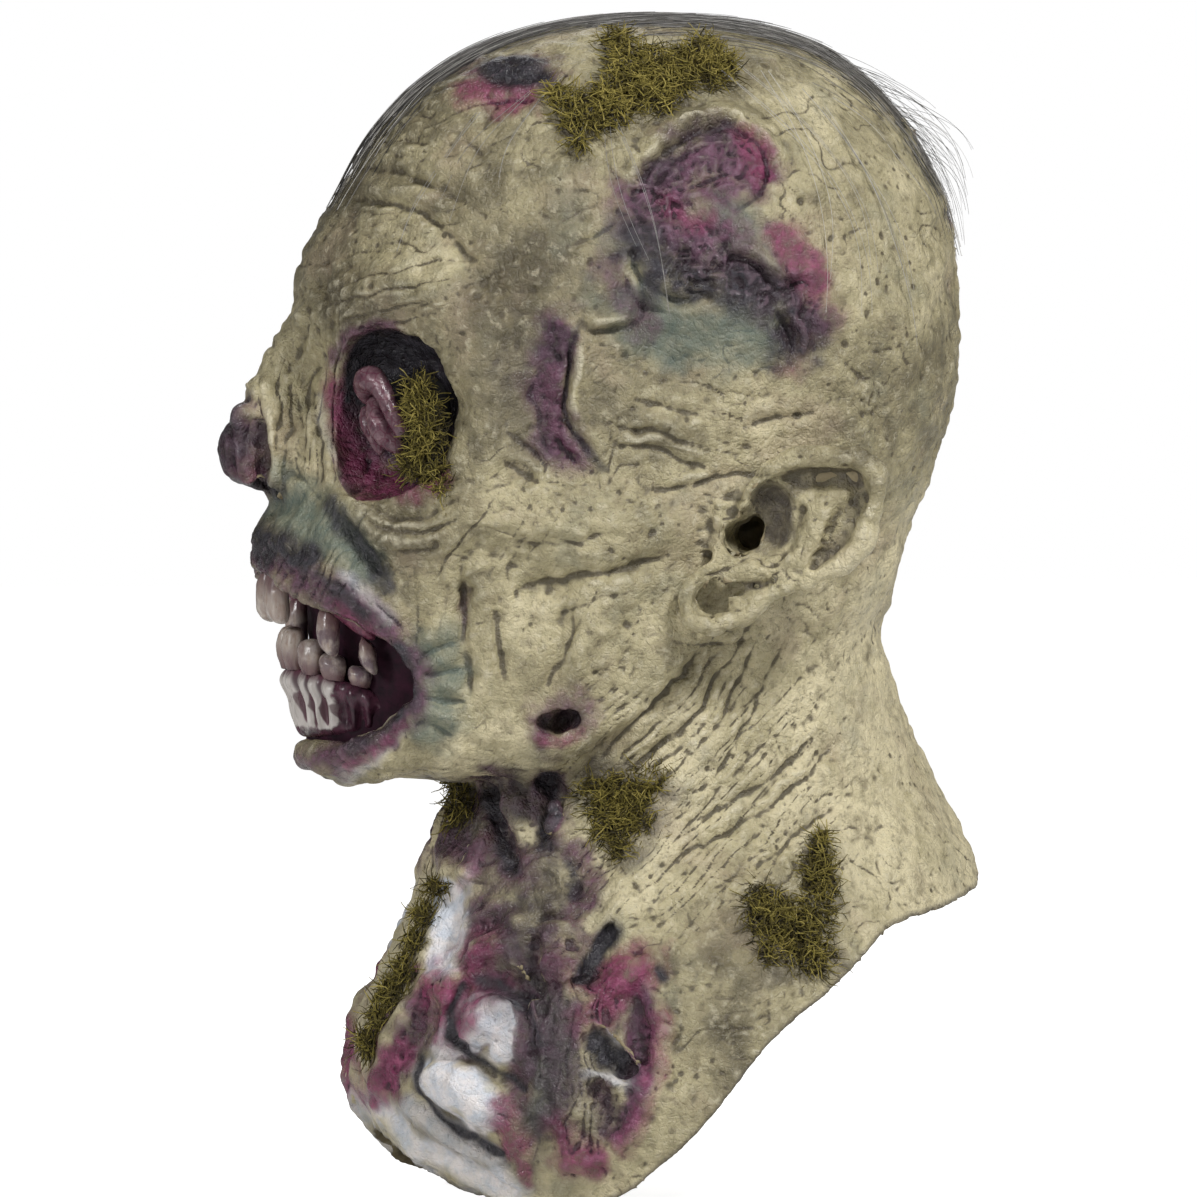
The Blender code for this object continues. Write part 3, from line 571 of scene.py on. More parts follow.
def add_forms(form, table):
    for sink, soft, cut, places in table:
        form.rope(side_rope(places, sink, NECK), soft, cut=cut)


def hem_height(x, y):
    turn = np.degrees(np.arctan2(np.abs(x), -y))
    return np.interp(turn, HEM_LINE[:, 0], HEM_LINE[:, 1])


HEM_LINE = np.stack([
    np.linspace(0, 180, 181),
    np.convolve(
        np.pad(np.interp(np.linspace(0, 180, 181), HEM[:, 0], HEM[:, 1]), 6, mode="reflect"),
        np.hanning(15)[1:-1] / np.hanning(15).sum(), mode="valid",
    ),
], axis=1)


# From the field to a mesh

def mirrored(field):
    return np.concatenate([field[::-1], field], axis=0)


def surface_net(field):
    """Vertices in millimetres and four-sided faces, facing out, where the field is zero."""
    inside = field < 0
    shape = [n - 1 for n in field.shape]
    corners = [(i, j, k) for i in (0, 1) for j in (0, 1) for k in (0, 1)]

    def at(array, corner):
        return array[tuple(slice(c, c + n) for c, n in zip(corner, shape))]

    filled = sum(at(inside, c).astype(np.int8) for c in corners)
    cells = np.argwhere((filled > 0) & (filled < 8))
    total = np.zeros((len(cells), 3), np.float32)
    count = np.zeros(len(cells), np.float32)
    for a in corners:
        for axis in range(3):
            if a[axis]:
                continue
            b = tuple(1 if i == axis else a[i] for i in range(3))
            first = field[tuple((cells + a).T)]
            second = field[tuple((cells + b).T)]
            crosses = (first < 0) != (second < 0)
            share = first / np.where(crosses, first - second, 1)
            place = np.array(a, np.float32) + share[:, None] * (np.array(b) - np.array(a))
            total += np.where(crosses[:, None], place, 0)
            count += crosses
    points = cells + total / count[:, None]
    number = np.full(shape, -1, np.int32)
    number[tuple(cells.T)] = np.arange(len(cells))
    faces = []
    for axis in range(3):
        low = [slice(1, n) for n in shape]
        low[axis] = slice(0, shape[axis])
        high = list(low)
        high[axis] = slice(1, shape[axis] + 1)
        before, after = inside[tuple(low)], inside[tuple(high)]
        edges = np.argwhere(before != after)
        starts = edges + [1 if i != axis else 0 for i in range(3)]
        b, c = (axis + 1) % 3, (axis + 2) % 3
        ring = []
        for db, dc in ((-1, -1), (0, -1), (0, 0), (-1, 0)):
            cell = starts.copy()
            cell[:, b] += db
            cell[:, c] += dc
            ring.append(number[tuple(cell.T)])
        quads = np.stack(ring, axis=1)
        outward = before[tuple(edges.T)]
        quads[~outward] = quads[~outward][:, ::-1]
        faces.append(quads)
    faces = np.concatenate(faces)
    faces = faces[(faces >= 0).all(axis=1)]
    origin = np.array((AXES[0][0] - len(AXES[0]) * VOXEL, AXES[1][0], AXES[2][0]))
    return origin + points * VOXEL, faces


def dropped_unused(points, faces):
    used = np.unique(faces)
    number = np.full(len(points), -1, np.int64)
    number[used] = np.arange(len(used))
    return points[used], number[faces]


def mesh_object(name, points, faces):
    """A mesh object from points in millimetres."""
    mesh = bpy.data.meshes.new(name)
    mesh.vertices.add(len(points))
    mesh.vertices.foreach_set("co", (np.asarray(points, np.float64) * MM).ravel())
    sides = faces.shape[1]
    mesh.loops.add(faces.size)
    mesh.loops.foreach_set("vertex_index", faces.ravel().astype(np.int32))
    mesh.polygons.add(len(faces))
    mesh.polygons.foreach_set("loop_start", np.arange(0, faces.size, sides, dtype=np.int32))
    mesh.update(calc_edges=True)
    mesh.validate()
    mesh.shade_smooth()
    piece = bpy.data.objects.new(name, mesh)
    bpy.context.scene.collection.objects.link(piece)
    return piece


def applied(piece):
    """Gives the piece its evaluated mesh and clears its modifiers."""
    graph = bpy.context.evaluated_depsgraph_get()
    made = bpy.data.meshes.new_from_object(piece.evaluated_get(graph))
    piece.modifiers.clear()
    old = piece.data
    piece.data = made
    bpy.data.meshes.remove(old)
    made.shade_smooth()
    return made


def refined(piece, levels=1):
    """Subdivides the piece, applies all its modifiers and returns its new mesh."""
    finer = piece.modifiers.new("finer", "SUBSURF")
    finer.levels = finer.render_levels = levels
    return applied(piece)


def add_wall(piece, thickness):
    """Gives a sheet its thickness in millimetres, half of it to each side."""
    wall = piece.modifiers.new("wall", "SOLIDIFY")
    wall.thickness = thickness * MM
    wall.offset = 0


def face_outwards(mesh, caps=()):
    """Closes the mesh with caps, lists of vertex numbers, and turns all its faces out."""
    body = bmesh.new()
    body.from_mesh(mesh)
    body.verts.ensure_lookup_table()
    for cap in caps:
        body.faces.new([body.verts[i] for i in cap])
    bmesh.ops.recalc_face_normals(body, faces=body.faces[:])
    body.to_mesh(mesh)
    body.free()
    mesh.shade_smooth()


def ring_mesh(rings):
    """A tube of rings of points, rows by sides by three."""
    rows, sides, _ = rings.shape
    points = rings.reshape(-1, 3)
    at = np.arange(rows * sides).reshape(rows, sides)
    faces = np.stack([
        at[:-1], np.roll(at[:-1], -1, axis=1), np.roll(at[1:], -1, axis=1), at[1:]
    ], axis=-1).reshape(-1, 4)
    return points, faces


def ring_ends(rows, sides):
    """The vertex numbers of a tube's first and last ring."""
    return [list(range(sides)), list(range((rows - 1) * sides, rows * sides))]


def grid_faces(rows, columns):
    at = np.arange(rows * columns).reshape(rows, columns)
    return np.stack([at[:-1, :-1], at[1:, :-1], at[1:, 1:], at[:-1, 1:]], axis=-1).reshape(-1, 4)


def colour_layer(mesh, name, columns):
    """Writes up to three numbers for each vertex as a colour attribute."""
    values = np.ones((len(mesh.vertices), 4), np.float32)
    for i, column in enumerate(columns):
        values[:, i] = column
    layer = mesh.color_attributes.new(name, "FLOAT_COLOR", "POINT")
    layer.data.foreach_set("color", values.ravel())


def points_of(mesh):
    values = np.empty(len(mesh.vertices) * 3, np.float32)
    mesh.vertices.foreach_get("co", values)
    return values.reshape(-1, 3) / MM


def normals_of(mesh):
    values = np.empty(len(mesh.vertices) * 3, np.float32)
    mesh.vertex_normals.foreach_get("vector", values)
    return values.reshape(-1, 3)


def neighbour_mean(mesh):
    """A function that gives each vertex the mean of its neighbours' values."""
    ends = np.empty(len(mesh.edges) * 2, np.int32)
    mesh.edges.foreach_get("vertices", ends)
    ends = ends.reshape(-1, 2)
    both = np.concatenate([ends, ends[:, ::-1]])
    count = len(mesh.vertices)
    degree = np.maximum(np.bincount(both[:, 0], minlength=count), 1)

    def mean(values):
        columns = values.reshape(count, -1)
        made = [
            np.bincount(both[:, 0], weights=columns[both[:, 1], i], minlength=count) / degree
            for i in range(columns.shape[1])
        ]
        return np.stack(made, axis=1).reshape(values.shape)

    return mean


def relief(mesh, mean, near_steps, wide_steps):
    """How far vertices stand out of their close and of their wider surroundings, in millimetres."""
    points, normals = points_of(mesh), normals_of(mesh)
    near = points
    for _ in range(near_steps):
        near = mean(near)
    wide = near
    for _ in range(wide_steps):
        wide = mean(wide)
    return ((points - near) * normals).sum(axis=1), ((points - wide) * normals).sum(axis=1)


def skin_solid():
    """The field of the whole left half, cut off at the hem."""
    form = Form()
    add_face(form)
    add_jaw_hole(form)
    add_ear(form)
    add_forms(form, NECK_FORMS)
    add_forms(form, CHEST_FORMS)
    _, (x, y, z) = grid_part(GRID_LOW - 1, GRID_HIGH + 1)
    hem = hem_height(x, y) - z
    form.field = np.maximum(form.field, hem.astype(np.float32))
    return form.field


def base_depth(points):
    """How deep points are under the plain loft."""
    x, y, z = (points[:, i] for i in range(3))
    z = np.minimum(z, HEAD[-1, 0] - 0.1)
    return -np.minimum(
        loft_field(HEAD, np.abs(x), y, z) * 0.9, loft_field(NECK, np.abs(x), y, z) * 0.9
    )


def trimmed_skin():
    """The skin's outer face: the model's surface without its deep inside and its foot."""
    points, faces = surface_net(mirrored(skin_solid()))
    middle = points[faces].mean(axis=1)
    by_eye = (middle[:, 1] < EYE_FRONT) & (middle[:, 2] > EYE_LOW) & (middle[:, 2] < EYE_HIGH)
    deep = base_depth(middle) > np.where(by_eye, SOCKET_CUT_DEPTH, LATEX_CUT_DEPTH)
    hem = hem_height(middle[:, 0], middle[:, 1])
    under = middle[:, 2] < hem + 0.55 * VOXEL
    points, faces = dropped_unused(points, faces[~deep & ~under])
    ends = np.concatenate([faces[:, [i, (i + 1) % 4]] for i in range(4)])
    keys, uses = np.unique(np.sort(ends, axis=1), axis=0, return_counts=True)
    border = np.unique(keys[uses == 1])
    hem = hem_height(points[border, 0], points[border, 1])
    low = points[border, 2] < hem + 2.5 * VOXEL
    points[border[low], 2] = hem[low]
    return points, faces


# Noise

def hashed(ix, iy, iz, seed):
    """A number from 0 to 1 for each lattice point."""
    value = (
        ix.astype(np.uint32) * np.uint32(374761393)
        + iy.astype(np.uint32) * np.uint32(668265263)
        + iz.astype(np.uint32) * np.uint32(2246822519)
        + np.uint32(seed * 3266489917 % 2**32)
    )
    value = (value ^ (value >> np.uint32(13))) * np.uint32(1274126177)
    value ^= value >> np.uint32(16)
    value = value * np.uint32(2654435761)
    return (value >> np.uint32(8)).astype(np.float32) / 2**24


def noise(points, size, seed=0, octaves=1):
    """Smooth noise from -1 to 1, with blobs about this many millimetres across."""
    total = np.zeros(len(points), np.float32)
    weight_sum = 0.0
    for octave in range(octaves):
        scaled = points / (size / 2**octave) + 1000.0
        cell = np.floor(scaled).astype(np.int64)
        f = scaled - cell
        f = f * f * f * (f * (f * 6 - 15) + 10)
        value = np.zeros(len(points), np.float32)
        for dx in (0, 1):
            for dy in (0, 1):
                for dz in (0, 1):
                    share = (
                        np.where(dx, f[:, 0], 1 - f[:, 0])
                        * np.where(dy, f[:, 1], 1 - f[:, 1])
                        * np.where(dz, f[:, 2], 1 - f[:, 2])
                    )
                    value += share * hashed(
                        cell[:, 0] + dx, cell[:, 1] + dy, cell[:, 2] + dz, seed + octave
                    )
        weight = 0.5**octave
        total += weight * (2 * value - 1)
        weight_sum += weight
    return total / weight_sum


def noise_3d(points, size, seed, octaves=1):
    """Three noises side by side, to push points about or to bend a pattern."""
    return np.stack([noise(points, size, seed + i, octaves) for i in range(3)], axis=1)


def cells(points, size, seed=0):
    """Distances to the nearest and the next scattered point, in cells, and the nearest's number."""
    scaled = points / size + 1000.0
    cell = np.floor(scaled).astype(np.int64)
    first = np.full(len(points), 9.0, np.float32)
    second = first.copy()
    name = np.zeros(len(points), np.float32)
    for dx in (-1, 0, 1):
        for dy in (-1, 0, 1):
            for dz in (-1, 0, 1):
                near = cell + (dx, dy, dz)
                away = np.zeros(len(points), np.float32)
                for axis in range(3):
                    jitter = hashed(near[:, 0], near[:, 1], near[:, 2], seed + 11 * axis + 1)
                    away += (near[:, axis] + jitter - scaled[:, axis]) ** 2
                away = np.sqrt(away)
                closer = away < first
                second = np.where(closer, first, np.minimum(second, away))
                label = hashed(near[:, 0], near[:, 1], near[:, 2], seed + 77)
                name = np.where(closer, label, name)
                first = np.where(closer, away, first)
    return first, second, name


def ease(low, high, value):
    share = np.clip((value - low) / (high - low), 0, 1)
    return share * share * (3 - 2 * share)


# The skin's relief and paint, laid out in the side view

class Skin:
    """The vertices of one mesh, with what the relief and the paint need to know of them."""

    def __init__(self, mesh):
        self.mesh = mesh
        self.points = points_of(mesh)
        self.normals = normals_of(mesh)
        x = np.abs(self.points[:, 0])
        self.left = self.points[:, 0] > 0
        self.u = self.points[:, 1] * ACROSS[1] + x * ACROSS[0]
        self.z = self.points[:, 2].copy()
        # the right side has the same folds, drawn by an unsteadier hand
        drift = np.where(self.left, 0, 3.0)
        self.u = self.u + drift * noise(self.points, 26, 41) + 2.4 * noise(self.points, 13, 44, 3)
        self.z = self.z + drift * noise(self.points, 26, 42) + 2.4 * noise(self.points, 13, 45, 3)
        self.wobble = noise(self.points, 7, 43, 2)
        self.fade = noise(self.points, 11, 46, 2)
        flipped = self.normals[:, 0] * np.sign(self.points[:, 0])
        self.facing = flipped * math.sin(VIEW_AZIMUTH) - self.normals[:, 1] * math.cos(VIEW_AZIMUTH)
        self.height = np.zeros(len(self.points), np.float32)
        self.paint = {}

    def near_line(self, places, reach, side):
        """Vertices near a line of u, z places: indices, distances and shares of its length."""
        places = np.array(places, np.float32)
        low, high = places.min(axis=0) - reach, places.max(axis=0) + reach
        chosen = (
            (self.u > low[0]) & (self.u < high[0]) & (self.z > low[1]) & (self.z < high[1])
            & (self.facing > -0.15)
        )
        if side == "left":
            chosen &= self.left
        elif side == "right":
            chosen &= ~self.left
        index = np.flatnonzero(chosen)
        u, z = self.u[index], self.z[index]
        share = np.zeros(len(index), np.float32)
        if len(places) == 1:
            return index, np.hypot(u - places[0, 0], z - places[0, 1]), share
        steps = np.hypot(*np.diff(places, axis=0).T)
        whole, gone = steps.sum(), 0.0
        best = np.full(len(index), 1e9, np.float32)
        for (u0, z0), (u1, z1), step in zip(places, places[1:], steps):
            along = np.clip(
                ((u - u0) * (u1 - u0) + (z - z0) * (z1 - z0)) / max(step * step, 1e-9), 0, 1
            )
            away = np.hypot(u - u0 - along * (u1 - u0), z - z0 - along * (z1 - z0))
            closer = away < best
            best = np.where(closer, away, best)
            share = np.where(closer, (gone + along * step) / whole, share)
            gone += step
        return index, best, share

    def crease(self, width, depth, places, side="both"):
        """A groove with a soft swelling on both sides; a negative depth is a ridge."""
        index, away, share = self.near_line(curved(places), 6 * width, side)
        taper = ease(0, 0.3, share) * ease(1, 0.7, share)
        width = width * (0.75 + 0.6 * taper)
        shape = (
            0.7 * np.exp(-((away / (0.7 * width)) ** 2))
            + 0.45 * np.exp(-((away / (2.2 * width)) ** 2))
            - 0.50 * np.exp(-(((away - 2.7 * width) / (1.5 * width)) ** 2))
        )
        fade = np.clip(0.95 + 0.6 * self.fade[index], 0.3, 1.5)
        self.height[index] -= 1.35 * depth * taper * fade * shape

    def stroke(self, colour, radius, strength, places, side="both"):
        """Paint along a line, with a ragged soft edge."""
        index, away, _ = self.near_line(curved(places), radius * 1.8, side)
        edge = away / radius + 0.55 * self.wobble[index] + 0.35 * self.fade[index]
        value = strength * ease(1.35, 0.25, edge)
        layer = self.paint.setdefault(colour, np.zeros(len(self.points), np.float32))
        layer[index] = np.maximum(layer[index], value)

    def stroke_at(self, colour, radius, strength, places, ragged, depth=None):
        """Paint round a line of x, y, z places and its mirror image, perhaps only in a hollow."""
        rope = [(*place, 0.0) for place in places]
        if len(rope) == 1:
            rope = rope * 2
        x, y, z = self.points.T
        away = rope_field(rope, np.abs(x), y, z) + radius * ragged * self.wobble
        value = strength * ease(1.15 * radius, 0.45 * radius, away)
        if depth is not None:
            value = value * ease(depth, depth + 3, base_depth(self.points))
        layer = self.paint.setdefault(colour, np.zeros(len(self.points), np.float32))
        np.maximum(layer, value, out=layer)

    def crust(self, places, radius, depth, side="left"):
        """A patch of raw flesh: sunk a little, finely wrinkled, with an uneven edge."""
        index, away, _ = self.near_line(curved(places), radius * 1.8, side)
        points = self.points[index]
        edge = away / radius + 0.45 * noise(points, 7.0, 4, 2)
        inside = ease(1.05, 0.60, edge)
        strings = 0.55 * ridges(points * (1, 0.7, 1), 5.5, 5) + 0.35 * ridges(points, 2.8, 8)
        lumps = noise(points, 10.0, 6, 2)
        self.height[index] += inside * depth * (0.42 * strings + 0.8 * lumps - 0.35)


def ridges(points, size, seed):
    """Noise of sharp winding ridges, from -1 between them to 1 along them."""
    bend = noise_3d(points, size * 2, seed + 90)
    return 1 - 4.5 * np.abs(noise(points + 0.8 * size * bend, size, seed)).clip(0, 0.45)


def curved(places):
    """The places of a line, with its corners rounded."""
    if len(places) < 3:
        return places
    places = np.array(places, np.float32)
    for _ in range(2):
        ahead = 0.75 * places[:-1] + 0.25 * places[1:]
        behind = 0.25 * places[:-1] + 0.75 * places[1:]
        middle = np.stack([ahead, behind], axis=1).reshape(-1, places.shape[1])
        places = np.concatenate([places[:1], middle[1:-1], places[-1:]])
    return places


# width, depth, places of u and z: folds on both sides of the face and the neck
FOLDS = (
    # forehead
    (1.7, 1.3, ((-116, 117), (-103, 120), (-88, 116), (-76, 111), (-61, 101))),
    (1.6, 1.2, ((-120, 107), (-109, 110), (-88, 106), (-75, 96), (-65, 84))),
    (1.3, 0.7, ((-96, 129), (-90, 129), (-84, 127))),
    (1.3, 0.7, ((-74, 128), (-70, 127), (-66, 124))),
    (1.3, 0.6, ((-100, 100), (-90, 99), (-80, 93))),
    (1.2, 0.5, ((-112, 126), (-102, 127), (-92, 123), (-80, 120))),
    # between the eyes and down the side of the nose
    (1.4, 1.4, ((-124, 84), (-127, 70), (-130, 54))),
    (1.3, 1.2, ((-119, 92), (-123, 74), (-122, 58), (-120, 46))),
    (1.2, 1.0, ((-120, 96), (-122, 84), (-119, 66))),
    (1.3, 1.1, ((-113, 84), (-117, 72), (-119, 62))),
    (1.1, 0.8, ((-108, 88), (-110, 78), (-113, 70))),
    (1.1, 0.8, ((-125, 50), (-124, 38), (-121, 28))),
    (1.2, 0.9, ((-130, 48), (-129, 36), (-126, 24))),
    (1.0, 0.6, ((-135, 46), (-134, 36), (-131, 26))),
    (1.0, 0.6, ((-132, 22), (-126, 16), (-122, 10))),
    (1.8, 2.4, ((-142, 46), (-141, 34), (-139.5, 24), (-140.5, 10))),
    (1.6, -1.5, ((-138.5, 46), (-137.5, 34), (-136, 24), (-137, 10))),
    (1.2, 1.3, ((-154, 36), (-149, 31), (-150, 22), (-146, 17))),
    (1.2, 1.2, ((-147, 40), (-145, 31), (-147, 22))),
    # bags under the eye
    (1.8, 2.2, ((-118, 28), (-113, 18), (-104, 9), (-93, 5), (-82, 7), (-70, 14))),
    (1.7, 1.7, ((-110, 10), (-101, 2), (-90, -1), (-80, 1), (-71, 8))),
    (1.2, 0.7, ((-98, -5), (-88, -7), (-78, -4))),
    (1.1, 0.7, ((-116, 38), (-121, 30), (-122, 20))),
    # cheek
    (2.2, 2.0, ((-117, 10), (-110, 2), (-103, -8), (-98, -17))),
    (2.3, 2.4, ((-72, -6), (-74, -18), (-74, -30), (-72, -44), (-70, -58))),
    (1.6, 1.0, ((-64, -20), (-62, -34), (-58, -50))),
    (1.4, 0.9, ((-38, -18), (-41, -28), (-43, -42))),
    (2.0, 2.0, ((-60, -20), (-46, -17), (-34, -14), (-18, -10), (-3, -6))),
    (1.6, 1.4, ((-36, -22), (-38, -34), (-44, -46), (-46, -52))),
    (1.2, 0.7, ((-44, -26), (-28, -21), (-12, -16))),
    (1.2, 0.7, ((-60, -2), (-48, -4), (-36, -3), (-20, 2))),
    (1.2, 0.8, ((-61, 34), (-52, 30), (-46, 22))),
    (1.0, 0.6, ((-62, 26), (-54, 20), (-44, 16))),
    # from the corner of the mouth
    (1.2, 0.9, ((-88, -40), (-80, -37), (-73, -35))),
    (1.2, 0.9, ((-89, -46), (-80, -46), (-71, -45))),
    (1.2, 0.9, ((-88, -53), (-80, -55), (-71, -56))),
    (1.2, 0.9, ((-90, -60), (-82, -64), (-75, -67))),
    (1.0, 0.7, ((-104, -22), (-98, -27), (-92, -34))),
    # jaw to ear
    (1.5, 1.4, ((-48, -78), (-38, -77), (-26, -71), (-14, -62), (-2, -48), (8, -34))),
    (1.1, 1.0, ((-42, -80), (-30, -76), (-16, -66), (-4, -52), (9, -34))),
    (1.0, 0.9, ((-40, -81), (-28, -79), (-12, -67), (2, -53), (13, -36))),
    (1.2, 1.1, ((-30, -86), (-14, -76), (2, -63), (13, -47), (22, -30))),
    (1.0, 0.7, ((-24, -88), (-8, -77), (7, -64), (17, -47), (24, -30))),
    (1.0, 0.8, ((-20, -92), (-4, -80), (10, -66), (20, -48), (28, -28))),
    (0.9, 0.6, ((-8, -96), (8, -82), (20, -66), (30, -46), (36, -28))),
    (1.0, 0.7, ((4, -58), (14, -46), (25, -27))),
    (1.0, 0.6, ((-30, -66), (-20, -58), (-10, -46))),
    # neck
    (1.3, 0.8, ((-5, -98), (14, -89), (32, -79), (45, -65))),
    (1.2, 0.7, ((-10, -112), (14, -98), (38, -84), (52, -68))),
    (1.2, 0.7, ((0, -124), (20, -110), (44, -96), (58, -84))),
    (1.1, 0.6, ((16, -122), (34, -112), (52, -104))),
    (1.1, 0.6, ((-24, -104), (-16, -118), (-6, -134))),
    # temple and scalp
    (1.2, 0.7, ((-26, 38), (-6, 31), (12, 26))),
    (1.2, 0.6, ((-24, 31), (-2, 23), (14, 19))),
    (1.0, 0.5, ((-20, 46), (-4, 40), (8, 38))),
    (1.0, 0.5, ((-14, 14), (0, 14), (10, 16))),
    (1.1, 0.7, ((18, 34), (28, 38), (44, 40))),
    (1.0, 0.5, ((50, 60), (60, 52), (68, 40))),
    (1.0, 0.5, ((-40, 92), (-30, 96), (-22, 104))),
    # ear
    (1.0, 0.8, ((1, 12), (9, 17), (17, 20), (25, 20), (31, 16))),
)

# width, depth, places: torn edges on the left only, and raised lips, whose depth is negative
TEARS = (
    # the slit at the temple, with its raised right lip
    (4.0, 0.9, ((-43, 68), (-45, 54), (-45, 42), (-41, 28))),
    (1.0, 1.4, ((-34, 70), (-37, 62), (-38, 55), (-41, 45), (-38, 37), (-32, 29), (-25, 20))),
    (2.0, -0.5, ((-31, 69), (-33, 62), (-34.5, 55), (-37, 45), (-34, 37), (-29, 30))),
    (1.2, 1.2, ((-49, 56), (-51, 46), (-49, 36), (-44, 26))),
    (1.2, 1.2, ((-44, 34), (-38, 26), (-34, 22))),
    (1.3, 1.5, ((-33, 68), (-24, 67), (-15, 69), (-12, 76), (-15, 86))),
    (1.4, -1.0, ((-32, 71), (-24, 70.5), (-17, 72))),
    # the edge of the big wound's upper lobe
    (1.3, 1.7, ((-16, 106), (-12, 120), (-2, 130), (12, 135), (24, 132), (28, 123), (25, 112),
                (17, 104), (11, 108))),
    (1.5, -1.1, ((-19, 106), (-15, 121), (-3, 134), (13, 138), (27, 134), (31, 122), (28, 110))),
    (1.2, 1.3, ((-11, 110), (-6, 120), (3, 126), (13, 129))),
    (1.0, 1.0, ((-6, 112), (2, 116), (12, 118), (19, 116))),
    # its right branch, with jagged flaps
    (1.2, 1.8, ((13, 92), (20, 90), (25, 87), (28, 80), (34, 79), (38, 83), (44, 80))),
    (1.3, -1.2, ((14, 95), (22, 93), (28, 88), (34, 83))),
    (1.2, 1.6, ((12, 86), (20, 82), (28, 78), (30, 70))),
    (1.3, 2.0, ((28, 74), (33, 68), (35, 57))),
    (1.2, -1.1, ((32, 75), (37, 67), (38, 57))),
    (1.3, 1.4, ((-22, 88), (-17, 78), (-12, 74), (-2, 72))),
    (1.2, 1.2, ((-18, 98), (-17, 86), (-10, 80), (0, 76), (10, 79))),
    # the small wound on the forehead
    (1.2, 1.3, ((-70, 152), (-62, 148), (-52, 149), (-44, 152))),
    (1.0, 1.0, ((-64, 140), (-58, 142), (-50, 140))),
)

# colour, radius, strength, places of u and z
FACE_PAINT = (
    # upper lip
    ("purple", 8, 0.95, (
        (-147, -9), (-134, -11), (-122, -17), (-110, -24), (-98, -32), (-91, -44),
    )),
    ("blue", 7, 0.95, ((-149, 6), (-145, -3), (-136, -6), (-126, -9))),
    ("blue", 4, 0.75, ((-117, 9), (-110, 1), (-103, -9), (-98, -18))),
    ("blue", 3, 0.8, ((-122, -14), (-114, -21), (-106, -27))),
    ("teal", 10, 1.0, ((-134, 10), (-126, 5), (-116, -2), (-108, -9))),
    ("teal", 6, 0.6, ((-134, 20), (-126, 14), (-119, 8))),
    ("magenta", 2.6, 0.9, ((-114, -24), (-106, -30), (-99, -38))),
    # painted highlight on the upper lip
    ("bone", 4, 0.6, ((-112, -16), (-105, -22), (-98, -29))),
    # corner of the mouth and lower lip
    ("blue", 4, 0.9, ((-94, -38), (-91.5, -50), (-95, -60))),
    ("purple", 6, 0.95, ((-91, -40), (-90, -54), (-98, -66))),
    ("teal", 10, 0.95, ((-84, -38), (-79, -50), (-80, -62))),
    ("magenta", 2.4, 0.7, ((-92, -62), (-100, -70), (-111, -77))),
    ("purple", 6, 0.9, ((-92, -58), (-98, -65), (-108, -72), (-120, -76), (-132, -76))),
    ("blue", 4, 0.7, ((-92, -56), (-100, -64), (-110, -71))),
    ("bone", 3.5, 0.4, ((-94, -64), (-102, -73), (-112, -80))),
    ("blue", 5, 0.9, ((-137, -78), (-130, -81), (-122, -84))),
    # socket
    ("magenta", 5.5, 1.0, ((-116, 46), (-112, 34), (-106, 24), (-97, 17), (-88, 15), (-81, 19))),
    ("purple", 4.0, 0.8, ((-115, 58), (-108, 66), (-98, 66))),
    ("bone", 2.2, 0.16, ((-122, 44), (-119, 30), (-110, 17))),
    # hole in the jaw
    ("blue", 3.5, 0.6, ((-46, -62), (-38, -61))),
    ("purple", 9, 0.7, ((-46, -60), (-38, -60))),
    ("magenta", 2.6, 0.7, ((-48, -67), (-41, -69), (-35, -66))),
    # throat
    ("grime", 14, 1.0, ((-80, -98), (-72, -100), (-60, -92), (-48, -86))),
    ("blue", 12, 0.4, ((-76, -98), (-60, -92), (-46, -90))),
    ("grime", 15, 1.0, ((-60, -104), (-50, -114), (-42, -124))),
    ("purple", 8, 0.7, ((-64, -86), (-60, -100), (-56, -110))),
    ("purple", 8, 0.8, ((-46, -84), (-44, -96))),
    ("purple", 8, 0.85, ((-83, -100), (-80, -108), (-74, -104))),
    ("magenta", 3.2, 0.5, ((-67, -101), (-70, -108), (-73, -116))),
    ("bone", 2.2, 0.4, ((-68, -103), (-72, -114))),
    ("blue", 4, 0.9, ((-64, -86), (-61, -98), (-57, -110))),
    ("blue", 5, 0.95, ((-46, -82), (-43, -88), (-46, -99))),
    ("magenta", 2.6, 0.95, ((-43, -90), (-43, -98))),
    ("purple", 5, 0.75, ((-34, -105), (-31, -115), (-37, -127))),
    ("blue", 3, 0.7, ((-37, -110), (-37, -118))),
)

